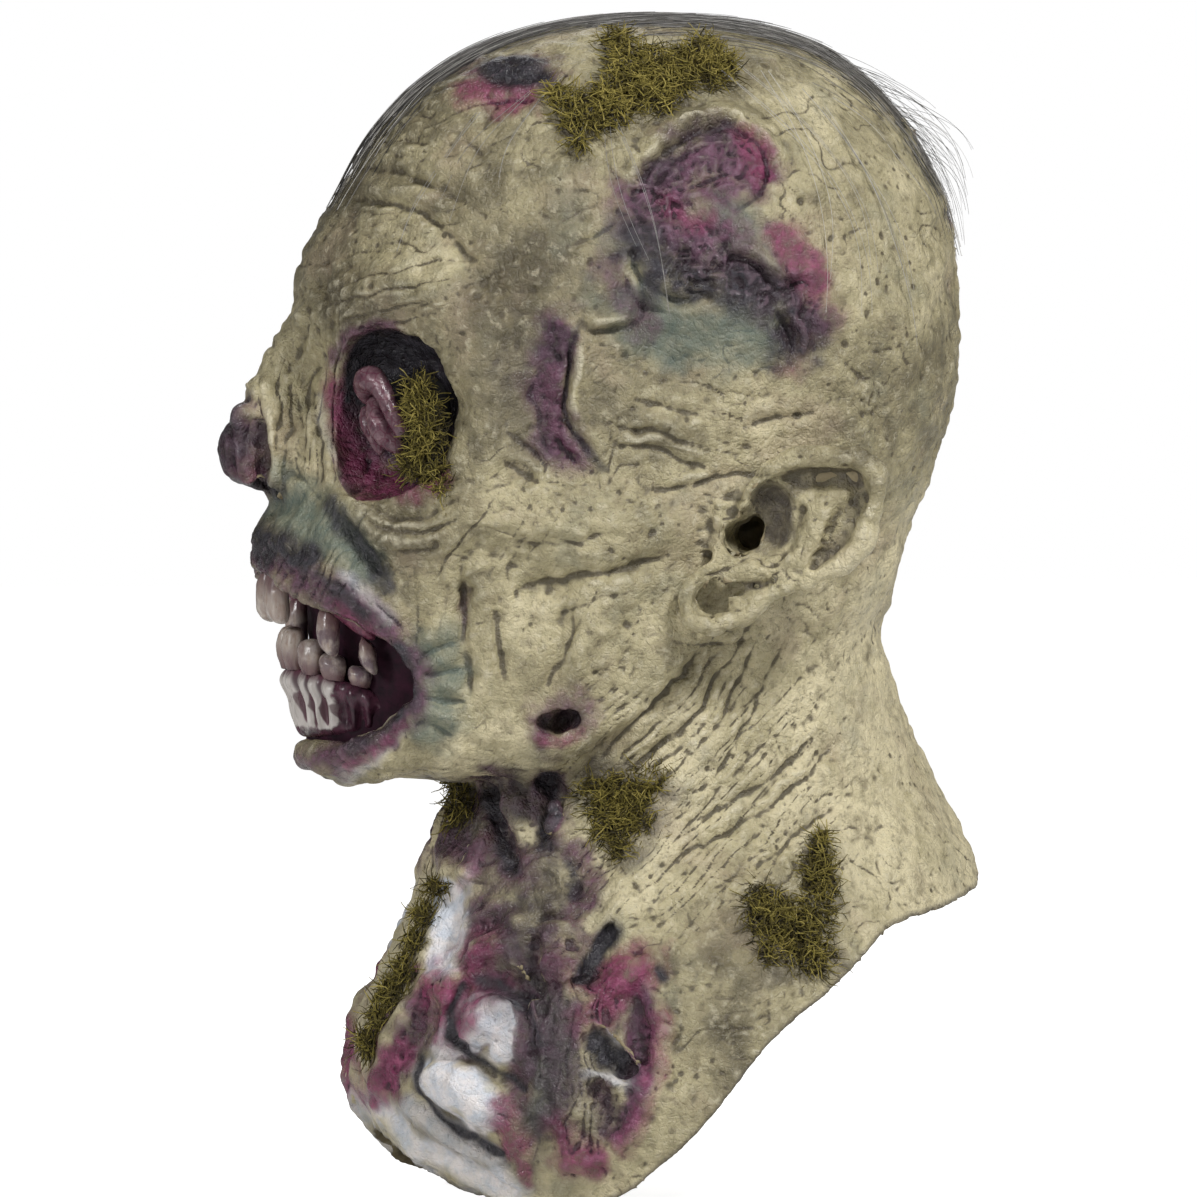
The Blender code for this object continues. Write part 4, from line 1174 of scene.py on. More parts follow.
CHEST_PAINT = (
    # darkened over the whole wound, then its flesh
    ("grime", 21, 1.0, ((-60, -132), (-50, -156), (-46, -186))),
    ("blue", 15, 0.46, ((-56, -134), (-46, -150), (-42, -188))),
    ("grime", 10, 0.8, ((-82, -160), (-94, -176))),
    ("grime", 9, 0.8, ((-92, -190), (-80, -197), (-66, -205), (-54, -208))),
    ("grime", 9, 0.8, ((-32, -140), (-26, -160), (-26, -190))),
    ("purple", 10, 0.7, ((-64, -128), (-52, -140), (-40, -134))),
    ("magenta", 7, 1.0, ((-70, -141), (-65, -135))),
    ("magenta", 6, 0.6, ((-44, -141), (-37, -146))),
    ("magenta", 8, 1.0, ((-84, -150), (-77, -152), (-76, -158))),
    ("purple", 8, 0.9, ((-88, -156), (-94, -168), (-98, -180))),
    ("magenta", 7, 1.0, ((-97, -172), (-103, -187))),
    ("purple", 6, 0.8, ((-52, -160), (-56, -174), (-56, -184))),
    ("purple", 9, 0.6, ((-44, -150), (-40, -172), (-42, -190))),
    ("teal", 9, 0.6, ((-46, -152), (-42, -170), (-46, -188))),
    ("blue", 6, 0.35, ((-38, -154), (-36, -170), (-38, -186))),
    # bared ribs and the hem
    ("bone", 6.0, 1.6, ((-77, -121), (-79, -131), (-81, -142))),
    ("purple", 11, 0.9, ((-71, -163), (-66, -160), (-61, -157))),
    ("magenta", 5, 0.8, ((-72, -152), (-66, -147), (-58, -147))),
    ("bone", 8.0, 1.8, ((-71, -163), (-66, -161), (-62, -159))),
    ("bone", 5, 1.4, ((-61, -164), (-62, -171))),
    ("bone", 8.0, 1.8, ((-80, -179), (-73, -182), (-66, -187))),
    ("bone", 4.5, 0.5, ((-90, -189), (-78, -196), (-64, -204))),
    ("bone", 6.0, 0.72, ((-103, -190), (-91, -200), (-76, -208), (-58, -216))),
    ("magenta", 3.2, 0.8, ((-72, -156), (-66, -150))),
    ("magenta", 5.0, 1.0, ((-61, -186), (-58, -194), (-54, -201))),
    ("magenta", 4.0, 0.8, ((-72, -146), (-66, -148))),
    ("magenta", 2.2, 0.8, ((-56, -202), (-51, -206), (-52, -212))),
    # painted shade in the grooves between them
    ("purple", 4.0, 0.9, ((-73, -150), (-76, -158), (-77, -165))),
    ("purple", 7.0, 0.95, ((-66, -147), (-56, -148), (-49, -156), (-48, -166))),
    ("grime", 5.5, 0.9, ((-76, -167), (-70, -173), (-61, -179), (-54, -183))),
    ("grime", 4.5, 0.9, ((-87, -171), (-88, -183), (-80, -192), (-70, -198), (-60, -203))),
    ("blue", 1.8, 0.95, ((-73, -150), (-76, -158), (-77, -165))),
    ("blue", 4.0, 0.85, ((-66, -147), (-56, -149), (-49, -157), (-48, -166))),
    ("blue", 1.8, 0.95, ((-77, -164), (-71, -170), (-62, -176), (-54, -180))),
    ("blue", 1.8, 0.95, ((-87, -173), (-88, -183), (-80, -192), (-70, -198), (-60, -203))),
    ("blue", 3.5, 0.7, ((-50, -136), (-49, -146))),
    # the open wound at the shoulder's side
    ("magenta", 7.5, 1.0, ((-33, -158), (-27, -150), (-20, -143), (-14, -141))),
    ("purple", 5, 1.0, ((-15, -148), (-14, -163), (-15, -178), (-22, -194))),
    ("magenta", 4.5, 0.6, ((-8, -156), (-8, -170), (-12, -184), (-22, -200))),
    ("magenta", 7, 1.0, ((-41, -193), (-38, -203), (-31, -203))),
    # dark paint with painted shade in the wound's hole and its cavities
    ("blue", 3.4, 1.0, ((-33, -145), (-28, -137), (-24, -129))),
    ("blue", 3.0, 1.0, ((-31, -164), (-26, -168), (-20, -172))),
    ("grime", 5, 0.8, ((-30, -165), (-25, -170), (-18, -174))),
    ("purple", 5, 0.6, ((-28, -183), (-24, -190))),
    ("blue", 5, 0.3, ((-28, -183), (-24, -190))),
    ("blue", 2, 0.9, ((-9, -141), (-7, -144))),
    ("bone", 1.8, 0.6, ((-30, -159), (-22, -165), (-16, -174))),
    ("bone", 4.4, 0.50, ((-31, -176), (-24, -178), (-15, -179))),
)

SCALP_PAINT = (
    # forehead
    ("purple", 8, 0.7, ((-66, 150), (-54, 149), (-46, 150))),
    ("blue", 6, 0.95, ((-63, 153), (-56, 151), (-48, 150))),
    ("magenta", 6, 0.85, ((-70, 145), (-60, 142), (-52, 142))),
    # temple slit
    ("purple", 8, 1.0, ((-41, 66), (-45, 52), (-45, 38), (-39, 26))),
    ("magenta", 4, 0.35, ((-45, 52), (-45, 40), (-39, 28))),
    ("blue", 7, 0.35, ((-43, 64), (-46, 48), (-42, 30))),
    ("blue", 1.6, 0.6, (
        (-34, 70), (-37, 62), (-38, 55), (-41, 45), (-38, 37), (-32, 29), (-26, 21),
    )),
    # painted shade in the hollow beside the slit
    ("grime", 9, 0.45, ((-56, 58), (-58, 44), (-52, 30))),
    # the big wound
    ("teal", 14, 0.95, ((-14, 74), (0, 66), (14, 66), (24, 70))),
    ("teal", 12, 0.7, ((12, 100), (22, 96), (30, 90))),
    ("teal", 8, 0.5, ((-22, 98), (-16, 88))),
    ("purple", 11, 1.0, ((-9, 112), (0, 124), (14, 127), (20, 118))),
    ("blue", 6, 0.5, ((-10, 120), (0, 130), (12, 132))),
    ("magenta", 5, 0.9, ((21, 131), (25, 125), (23, 118))),
    ("purple", 14, 1.0, ((-12, 106), (-5, 98), (3, 92))),
    ("purple", 10, 0.9, ((0, 112), (12, 114))),
    ("magenta", 4, 0.7, ((-6, 108), (2, 101), (6, 104))),
    ("blue", 11, 0.85, ((-14, 96), (-8, 88), (0, 82), (12, 80), (20, 82))),
    ("teal", 9, 0.95, ((14, 104), (20, 98), (8, 96))),
    ("purple", 9, 1.0, ((14, 86), (26, 83), (36, 76), (40, 70))),
    ("blue", 4, 0.6, ((22, 80), (32, 74), (34, 62))),
    ("magenta", 9, 0.95, ((33, 96), (35, 88), (41, 82))),
    ("magenta", 14, 0.35, ((32, 94), (38, 82))),
    ("magenta", 5, 0.6, ((36, 72), (38, 62), (35, 54))),
    ("purple", 6, 0.6, ((-24, 88), (-20, 78), (-15, 70))),
    ("blue", 10, 0.8, ((26, 84), (34, 74), (36, 60))),
)

# a rotten patch on the right of the scalp, and a bruised temple
RIGHT_PAINT = (
    ("teal", 15, 0.7, ((18, 92), (34, 82), (44, 70))),
    ("purple", 12, 1.0, ((18, 100), (32, 92), (40, 78))),
    ("magenta", 6, 0.8, ((10, 104), (22, 108), (34, 100))),
    ("blue", 7, 0.8, ((26, 94), (36, 84))),
    ("purple", 8, 0.6, ((-46, 60), (-44, 46), (-36, 36))),
)
RIGHT_TEARS = (
    (1.3, 1.6, ((8, 100), (13, 110), (27, 111), (41, 99), (48, 82), (42, 68))),
    (1.3, -1.0, ((5, 100), (11, 113), (28, 114.5), (44, 101), (51, 82), (45, 66))),
    (1.2, 1.3, ((16, 92), (26, 84), (32, 72))),
    (1.1, 1.2, ((-40, 62), (-44, 50), (-40, 38), (-31, 28))),
)

# u, z, radius and depth of single large pores
PITS = (
    (-71.7, -17.8, 2.6, 2.2), (-14, 34, 2.0, 1.6), (-20, 28, 1.6, 1.2), (-60, 72, 1.6, 1.1),
    (-66, 82, 1.5, 1.0), (-56, 62, 1.7, 1.2), (-62, 56, 1.4, 1.0), (-70, 96, 1.5, 1.0),
    (-50, 78, 1.4, 0.9), (-57, 90, 1.3, 0.9), (-10, 2, 1.6, 1.1), (-25, -5, 1.5, 1.0),
    (-56, -20, 1.5, 1.0), (-60, -40, 1.8, 1.2), (60, 70, 1.5, 0.8), (48, 96, 1.5, 0.8),
    (-40, 8, 1.5, 0.9), (-52, 14, 1.6, 1.0), (-30, -46, 1.5, 0.9), (-20, -30, 1.6, 1.1),
)

# side, radius, depth, places of raw, wrinkled flesh
CRUSTS = (
    ("left", 15, 2.1, ((-10, 108), (-6, 98), (4, 90))),
    ("left", 10, 2.2, ((4, 86), (18, 84), (36, 76))),
    ("left", 12, 1.8, ((-6, 117), (4, 124), (16, 122))),
    ("left", 6, 1.4, ((-60, 150), (-50, 149))),
    ("left", 6, 1.1, ((-43, 62), (-45, 48), (-42, 32))),
    ("right", 12, 1.8, ((18, 100), (32, 92), (40, 78))),
    ("both", 9, 1.2, ((-78, -98), (-66, -112))),
    ("both", 12, 1.3, ((-66, -134), (-42, -140))),
    ("both", 9, 1.4, ((-56, -90), (-46, -112))),
    ("both", 12, 1.0, ((-44, -150), (-40, -192))),
    ("both", 7, 1.3, ((-30, -150), (-22, -170), (-28, -198))),
    ("both", 7, 1.2, ((-84, -154), (-96, -178))),
    ("both", 9, 1.0, ((-142, -4), (-126, -10), (-108, -24))),
    ("both", 6, 1.0, ((-94, -64), (-110, -76))),
)


def shape_skin(mesh):
    """Presses the folds, tears and rot into the mesh, and returns it with its paint."""
    skin = Skin(mesh)
    for width, depth, places in FOLDS:
        skin.crease(width, depth, places)
    for u, z, radius, depth in PITS:
        index, away, _ = skin.near_line(((u, z),), radius * 2.5, "both")
        skin.height[index] -= depth * np.exp(-((away / radius) ** 2))
    for width, depth, places in TEARS:
        skin.crease(width, depth, places, "left")
    for width, depth, places in RIGHT_TEARS:
        skin.crease(width, depth, places, "right")
    for side, radius, depth, places in CRUSTS:
        skin.crust(places, radius, depth, side)
    back_wound(skin)
    leather(skin)
    skin.points += skin.normals * skin.height[:, None]
    mesh.vertices.foreach_set("co", (skin.points * MM).ravel())
    mesh.update()
    tables = (
        ("both", FACE_PAINT), ("both", CHEST_PAINT), ("left", SCALP_PAINT), ("right", RIGHT_PAINT),
    )
    for side, table in tables:
        for colour, radius, strength, places in table:
            skin.stroke(colour, radius, strength, places, side)
    for colour, radius, strength, places, *rest in HIDDEN_PAINT:
        skin.stroke_at(colour, radius, strength, places, *rest)
    # painted shadow round and under each moss patch
    for *_, middles in MOSS_PATCHES:
        for u, z, radius in middles:
            skin.stroke("grime", 1.1 * radius + 1, 0.8, ((u, z),), "left")
    return skin


# the middle line of the wound on the back of the head, and the lump at its top: x, y and z
BACK_WOUND = ((6, 76, 122), (8, 80, 104), (4, 83, 84), (8, 84, 66), (3, 84, 48))
BACK_LUMP = (10, 72, 126)
# Paint on surfaces that the side view doesn't face: colour, radius, strength, places of x, y
# and z, raggedness, and how deep under the plain loft it starts, if it keeps to a hollow
HIDDEN_PAINT = (
    ("purple", 15, 1.0, ((0, -154, 34), (0, -151, 20)), 0.1),
    ("blue", 11, 0.75, ((0, -156, 38), (4, -153, 24)), 0.6),
    ("magenta", 8, 0.5, ((6, -156, 26), (7, -150, 18)), 0.6),
    ("blue", 7, 0.8, ((0, -150, 14), (9, -140, 14)), 0.1),
    ("purple", 14, 0.95, BACK_WOUND, 0.35),
    ("blue", 8, 0.6, BACK_WOUND[1:4], 0.35),
    ("magenta", 12, 0.5, BACK_WOUND, 0.35),
    # dark paint with painted shade deep inside the mouth
    ("purple", 44, 1.0, ((0, -112, -42), (28, -106, -46)), 0.1, 2.0),
    ("blue", 40, 1.0, ((0, -106, -42), (30, -98, -46)), 0.2, 5.0),
    # dark paint with painted shade deep in the sockets
    ("purple", 34, 1.0, ((38, -106, 42),), 0.1, 1.5),
    ("blue", 24, 1.1, ((30, -110, 52), (34, -104, 42), (46, -98, 50)), 0.2, 3.0),
    ("blue", 20, 1.1, ((44, -94, 32),), 0.2, 5.0),
    ("magenta", 12, 1.0, (
        (24, -121, 42), (30, -117, 26), (42, -108, 16), (54, -100, 18),
    ), 0.3, 0.5),
    # painted shade in the hollows and grooves of the ear, round its lobe too
    ("grime", 8, 1.0, (ear_point(-3, 1, -1), ear_point(-3, 10, -1)), 0.6),
    ("grime", 3.0, 0.6, (ear_point(0, 13, 2), ear_point(12, 18, 2), ear_point(25, 17, 2)), 0.6),
    ("grime", 3.0, 0.4, (ear_point(26, 12, 2), ear_point(23, 2, 2), ear_point(13, -9, 2)), 0.6),
    ("grime", 5, 0.4, (ear_point(-21, -22, 0),), 0.5),
    ("grime", 3, 0.9, (ear_point(-24, -16, 1), ear_point(-8, -17, 1)), 0.2),
)


def back_wound(skin):
    """A long crusted wound down the back of the head, with a lump at its top."""
    x, y, z = skin.points.T
    rope = [(*place, 0.0) for place in BACK_WOUND]
    away = rope_field(rope, x, y, z) + 5.0 * noise(skin.points, 8.0, 14, 2)
    inside = ease(15, 10, away)
    crust = 1.4 * ridges(skin.points, 8.0, 15) + 0.8 * ridges(skin.points, 4.0, 16)
    skin.height += inside * crust
    skin.height += 1.0 * np.exp(-(((away - 15) / 2.5) ** 2))
    skin.height += 3.0 * ease(7, 2, np.linalg.norm(skin.points - np.array(BACK_LUMP), axis=1))


def drawn_lines(skin, along, pitch, seed):
    """Long wandering lines that run along a direction of the side view, 0 to 1."""
    length = math.hypot(*along)
    c, s = along[0] / length, along[1] / length
    stretched = np.stack([
        0.10 * skin.points[:, 0],
        0.14 * (c * skin.u + s * skin.z),
        s * skin.u - c * skin.z,
    ], axis=1).astype(np.float32)
    value = 1 - 2.6 * np.abs(noise(stretched, pitch, seed, 2))
    return np.clip(value, 0, 1) ** 2


def wrinkles(points, size, seed, thin=0.10, stretch=(1, 1, 1)):
    """Thin wandering creases, 0 to 1, that fade in and out."""
    bend = noise_3d(points, size, seed + 1)
    value = noise((points + 0.45 * size * bend) * np.array(stretch, np.float32), size, seed, 2)
    return np.exp(-((value / thin) ** 2)) * ease(-0.25, 0.35, noise(points, 2.2 * size, seed + 4))


# Fine wrinkles all over: depth, size, seed, thinness and stretch
WRINKLES = (
    (0.65, 26, 201, 0.12, (1, 1, 1)),
    (0.50, 12, 211, 0.15, (1, 1, 1.5)),
    (0.32, 6, 221, 0.20, (1, 1, 1)),
)
# Limits of an area of the side view: axis, where it starts and where it is full
NECK_AREA = (("z", -36, -66), ("z", -150, -110), ("u", -50, -30), ("u", 70, 30))
# Drawn wrinkles: depth, direction as u and z, distance between lines, seed, whether they come
# and go along the skin, area
DRAWN_WRINKLES = (
    # from the jaw up to the ear
    (0.75, (0.76, 0.65), 6.0, 31, True, NECK_AREA),
    (0.60, (0.70, 0.71), 3.0, 37, False, NECK_AREA),
    # the stringy muscle beside the ribs
    (1.0, (0.06, 1.0), 3.4, 33, False, (
        ("z", -140, -152), ("z", -208, -196), ("u", -54, -48), ("u", -18, -30),
    )),
    # forehead
    (0.9, (0.9, 0.2), 6.0, 34, False, (("u", -62, -84), ("z", 30, 80))),
    # between the brows
    (1.0, (0.05, 1.0), 5.0, 35, False, (("u", -104, -116), ("z", 8, 20), ("z", 100, 84))),
    # cheek
    (0.9, (0.55, 0.83), 8.0, 36, True, (
        ("u", -96, -80), ("z", 24, 8), ("z", -84, -70), ("u", 10, -10),
    )),
    # temple
    (0.9, (0.97, -0.2), 5.5, 38, True, (
        ("u", -62, -50), ("u", 34, 14), ("z", -24, -8), ("z", 60, 40),
    )),
    # upper lip
    (0.9, (0.45, 0.9), 4.5, 39, False, (("u", -100, -108), ("z", -30, -20), ("z", 16, 8))),
)


def inside_area(skin, limits):
    """How far vertices are inside an area, from 0 at its edges to 1."""
    share = 1.0
    for axis, start, full in limits:
        share = share * ease(start, full, skin.u if axis == "u" else skin.z)
    return share


def leather(skin):
    """The unevenness that the whole skin has."""
    points, u, z = skin.points, skin.u, skin.z
    skin.height += 1.3 * noise(points, 46, 29, 2) * ease(-215, -190, z)
    skin.height += 1.7 * noise(points, 24, 21, 2) + 1.1 * noise(points, 9, 22, 2)
    skin.height += 0.42 * noise(points, 3.6, 20)
    for depth, size, seed, thin, stretch in WRINKLES:
        skin.height -= depth * wrinkles(points, size, seed, thin, stretch)
    # large pores on the head, and small ones here and there
    first, _, name = cells(points, 8.0, 23)
    pores = ease(0.30, 0.08, first) * (name > 0.72)
    skin.height -= 0.8 * pores * ease(-40, 20, z)
    first, _, name = cells(points, 4.0, 26)
    patchy = ease(-0.2, 0.4, noise(points, 28, 27))
    skin.height -= 0.45 * ease(0.36, 0.10, first) * (name > 0.60) * patchy
    fade = 0.15 + 0.85 * ease(-0.2, 0.4, noise(points, 30, 28))
    for depth, along, pitch, seed, fading, limits in DRAWN_WRINKLES:
        strength = depth * inside_area(skin, limits) * (fade if fading else 1)
        skin.height -= strength * drawn_lines(skin, along, pitch, seed)
    # others cross those of the neck where they are faint
    crossed = inside_area(skin, NECK_AREA) * ease(20, -20, np.abs(u - 18) - 24) * (1.2 - fade)
    skin.height -= 0.25 * crossed * drawn_lines(skin, (-0.35, 0.94), 6.0, 32)


# u, z, radius and how much paler or darker the paint is round there: partly its own tone, partly
# painted highlights, as on the brow, and painted shade in hollows, as beside the temple slit
TONE_AND_LIGHT_SPOTS = (
    (-82, 90, 14, 0.32), (-42, 78, 20, -0.24), (52, -32, 26, 0.22), (5, -148, 30, -0.32),
    (-60, -38, 16, 0.10), (-22, -48, 14, -0.08), (66, 42, 16, -0.12), (-36, 8, 14, 0.10),
    (-90, 118, 20, 0.14), (-54, 40, 14, -0.16), (20, 2, 16, -0.06), (40, 120, 26, 0.10),
    (-78, 88, 9, 0.25), (34, -134, 30, -0.16), (-90, 100, 16, 0.10), (70, 80, 20, 0.14),
    (-66, -20, 10, -0.10), (-104, 6, 10, -0.20), (-96, -2, 12, -0.14),
    (-26, -74, 14, -0.25), (30, -120, 24, -0.30), (10, -176, 20, -0.30), (60, 20, 22, -0.18),
    (8, -44, 12, -0.25), (-58, 66, 18, -0.20), (-40, -50, 20, -0.10), (-112, -84, 16, -0.20),
    (-56, 74, 14, -0.24), (-52, 52, 12, -0.22), (74, 44, 26, -0.20),
    (-40, 18, 16, -0.12), (-38, -70, 18, -0.18), (48, -90, 24, -0.10), (-110, 108, 16, -0.10),
    (-116, -84, 16, -0.15),
)


# height and how pale the paint is there, from the dark chest to the pale neck and the crown
TONE_BY_HEIGHT = (
    (-225, 0.75), (-170, 0.8), (-100, 1.0), (-70, 0.9), (-20, 0.72), (20, 0.6), (60, 0.5),
    (130, 0.55),
)


def add_layers(skin, mean):
    """Writes the paint, and how far each vertex stands out, as attributes for the material."""
    mesh = skin.mesh
    points = points_of(mesh)
    fine, broad = relief(mesh, mean, 3, 14)
    u, z = skin.u, skin.z
    tone = np.interp(z, *zip(*TONE_BY_HEIGHT))
    tone = tone - 0.32 * ease(-40, -90, u) * ease(50, 85, z)
    tone = tone - 0.25 * ease(-60, -100, u) * ease(40, 0, z) * ease(-90, -60, z)
    tone = tone + 0.10 * ease(30, 60, u)
    # paler and darker spots, some of them painted highlights and painted shade
    for at_u, at_z, radius, amount in TONE_AND_LIGHT_SPOTS:
        tone = tone + amount * np.exp(-((u - at_u) ** 2 + (z - at_z) ** 2) / radius**2)
    tone = tone + 0.26 * noise(points, 34, 51, 3) + 0.14 * noise(points, 9, 52, 2)
    x, y, height = points.T
    hem = height - hem_height(x, y)
    # how close a point is to the middle of the mouth, and to that of its eye, where the inside gets
    # painted shade
    mouth = np.sqrt((x / 1.1) ** 2 + (y + 112) ** 2 + ((height + 44) / 0.9) ** 2)
    eye = np.sqrt((np.abs(x) - 42) ** 2 + (y + 100) ** 2 + (height - 39) ** 2)
    inside = np.maximum(ease(80, 52, mouth), ease(46, 30, eye))
    paint = skin.paint
    # grime and painted shade from the strokes, and a dark line along the hem
    grime_shade_and_dark_hem = np.maximum(paint["grime"], 0.8 * ease(2.2, 0.6, hem))
    sets = {
        "paint_flesh": (paint["purple"], paint["magenta"], paint["blue"]),
        "paint_skin": (paint["teal"], paint["bone"], grime_shade_and_dark_hem),
        "form": (0.5 + 0.9 * fine, 0.5 + 0.35 * broad, tone),
        "hollow": (inside, inside, inside),
    }
    for name, columns in sets.items():
        colour_layer(mesh, name, [np.clip(column, 0, 1) for column in columns])


# Materials

class Paint:
    """Builds one node material."""

    def __init__(self, name, roughness=0.5):
        self.material = bpy.data.materials.new(name)
        self.material.use_nodes = True
        self.tree = self.material.node_tree
        self.shader = self.tree.nodes["Principled BSDF"]
        self.shader.inputs["Roughness"].default_value = roughness
        self.place = self.node("ShaderNodeTexCoord").outputs["Object"]

    def node(self, kind, **settings):
        made = self.tree.nodes.new(kind)
        for key, value in settings.items():
            setattr(made, key, value)
        return made

    def feed(self, socket, value):
        if isinstance(value, bpy.types.NodeSocket):
            self.tree.links.new(value, socket)
        elif isinstance(value, tuple) and len(value) == 3 and socket.type == "RGBA":
            socket.default_value = (*value, 1)
        else:
            socket.default_value = value

    def noise(self, size, detail=3.0, rough=0.55, stretch=None):
        """Noise from 0 to 1 with blobs about this many millimetres across."""
        made = self.node("ShaderNodeTexNoise")
        made.inputs["Scale"].default_value = 1 / (size * MM)
        made.inputs["Detail"].default_value = detail
        made.inputs["Roughness"].default_value = rough
        place = self.place
        if stretch:
            mapping = self.node("ShaderNodeMapping")
            mapping.inputs["Scale"].default_value = stretch
            self.feed(mapping.inputs["Vector"], place)
            place = mapping.outputs["Vector"]
        self.feed(made.inputs["Vector"], place)
        return made.outputs["Fac"]

    def cells(self, size):
        """Distance to the edges between cells about this many millimetres across."""
        made = self.node("ShaderNodeTexVoronoi", feature="DISTANCE_TO_EDGE")
        made.inputs["Scale"].default_value = 1 / (size * MM)
        self.feed(made.inputs["Vector"], self.place)
        return made.outputs["Distance"]

    def ramp(self, value, low, high, to_low=0.0, to_high=1.0):
        made = self.node("ShaderNodeMapRange", interpolation_type="SMOOTHSTEP")
        for socket, number in zip(made.inputs[1:5], (low, high, to_low, to_high)):
            socket.default_value = number
        self.feed(made.inputs["Value"], value)
        return made.outputs["Result"]

    def colours(self, value, stops):
        made = self.node("ShaderNodeValToRGB")
        steps = made.color_ramp.elements
        while len(steps) < len(stops):
            steps.new(0.5)
        for step, (at, colour) in zip(steps, stops):
            step.position = at
            step.color = (*colour, 1)
        self.feed(made.inputs["Fac"], value)
        return made.outputs["Color"]

    def mix(self, share, first, second):
        made = self.node("ShaderNodeMix", data_type="RGBA")
        self.feed(made.inputs["Factor"], share)
        self.feed(made.inputs["A"], first)
        self.feed(made.inputs["B"], second)
        return made.outputs["Result"]

    def math(self, kind, first, second=0.0):
        made = self.node("ShaderNodeMath", operation=kind)
        self.feed(made.inputs[0], first)
        self.feed(made.inputs[1], second)
        return made.outputs["Value"]

    def times(self, first, second):
        return self.math("MULTIPLY", first, second)

    def plus(self, first, second):
        return self.math("ADD", first, second)

    def minus(self, first, second):
        return self.math("SUBTRACT", first, second)

    def swing(self, value, amount):
        """A value from 0 to 1 as an offset to both sides of nothing."""
        return self.times(self.minus(value, 0.5), amount)

    def stain(self, colour, value, low, high, most, over):
        """A second colour over the first, from none where the value is low to the most."""
        return self.mix(self.ramp(value, low, high, 0, most), colour, over)

    def layer(self, name):
        """The three channels of a vertex attribute."""
        made = self.node("ShaderNodeAttribute", attribute_name=name)
        split = self.node("ShaderNodeSeparateColor")
        self.feed(split.inputs["Color"], made.outputs["Color"])
        return split.outputs["Red"], split.outputs["Green"], split.outputs["Blue"]

    def bump(self, height, distance, strength=1.0):
        made = self.node("ShaderNodeBump")
        made.inputs["Distance"].default_value = distance * MM
        made.inputs["Strength"].default_value = strength
        self.feed(made.inputs["Height"], height)
        return made.outputs["Normal"]

    def finish(self, colour, normal, roughness=None):
        self.feed(self.shader.inputs["Base Color"], colour)
        self.feed(self.shader.inputs["Normal"], normal)
        if roughness is not None:
            self.feed(self.shader.inputs["Roughness"], roughness)
        return self.material


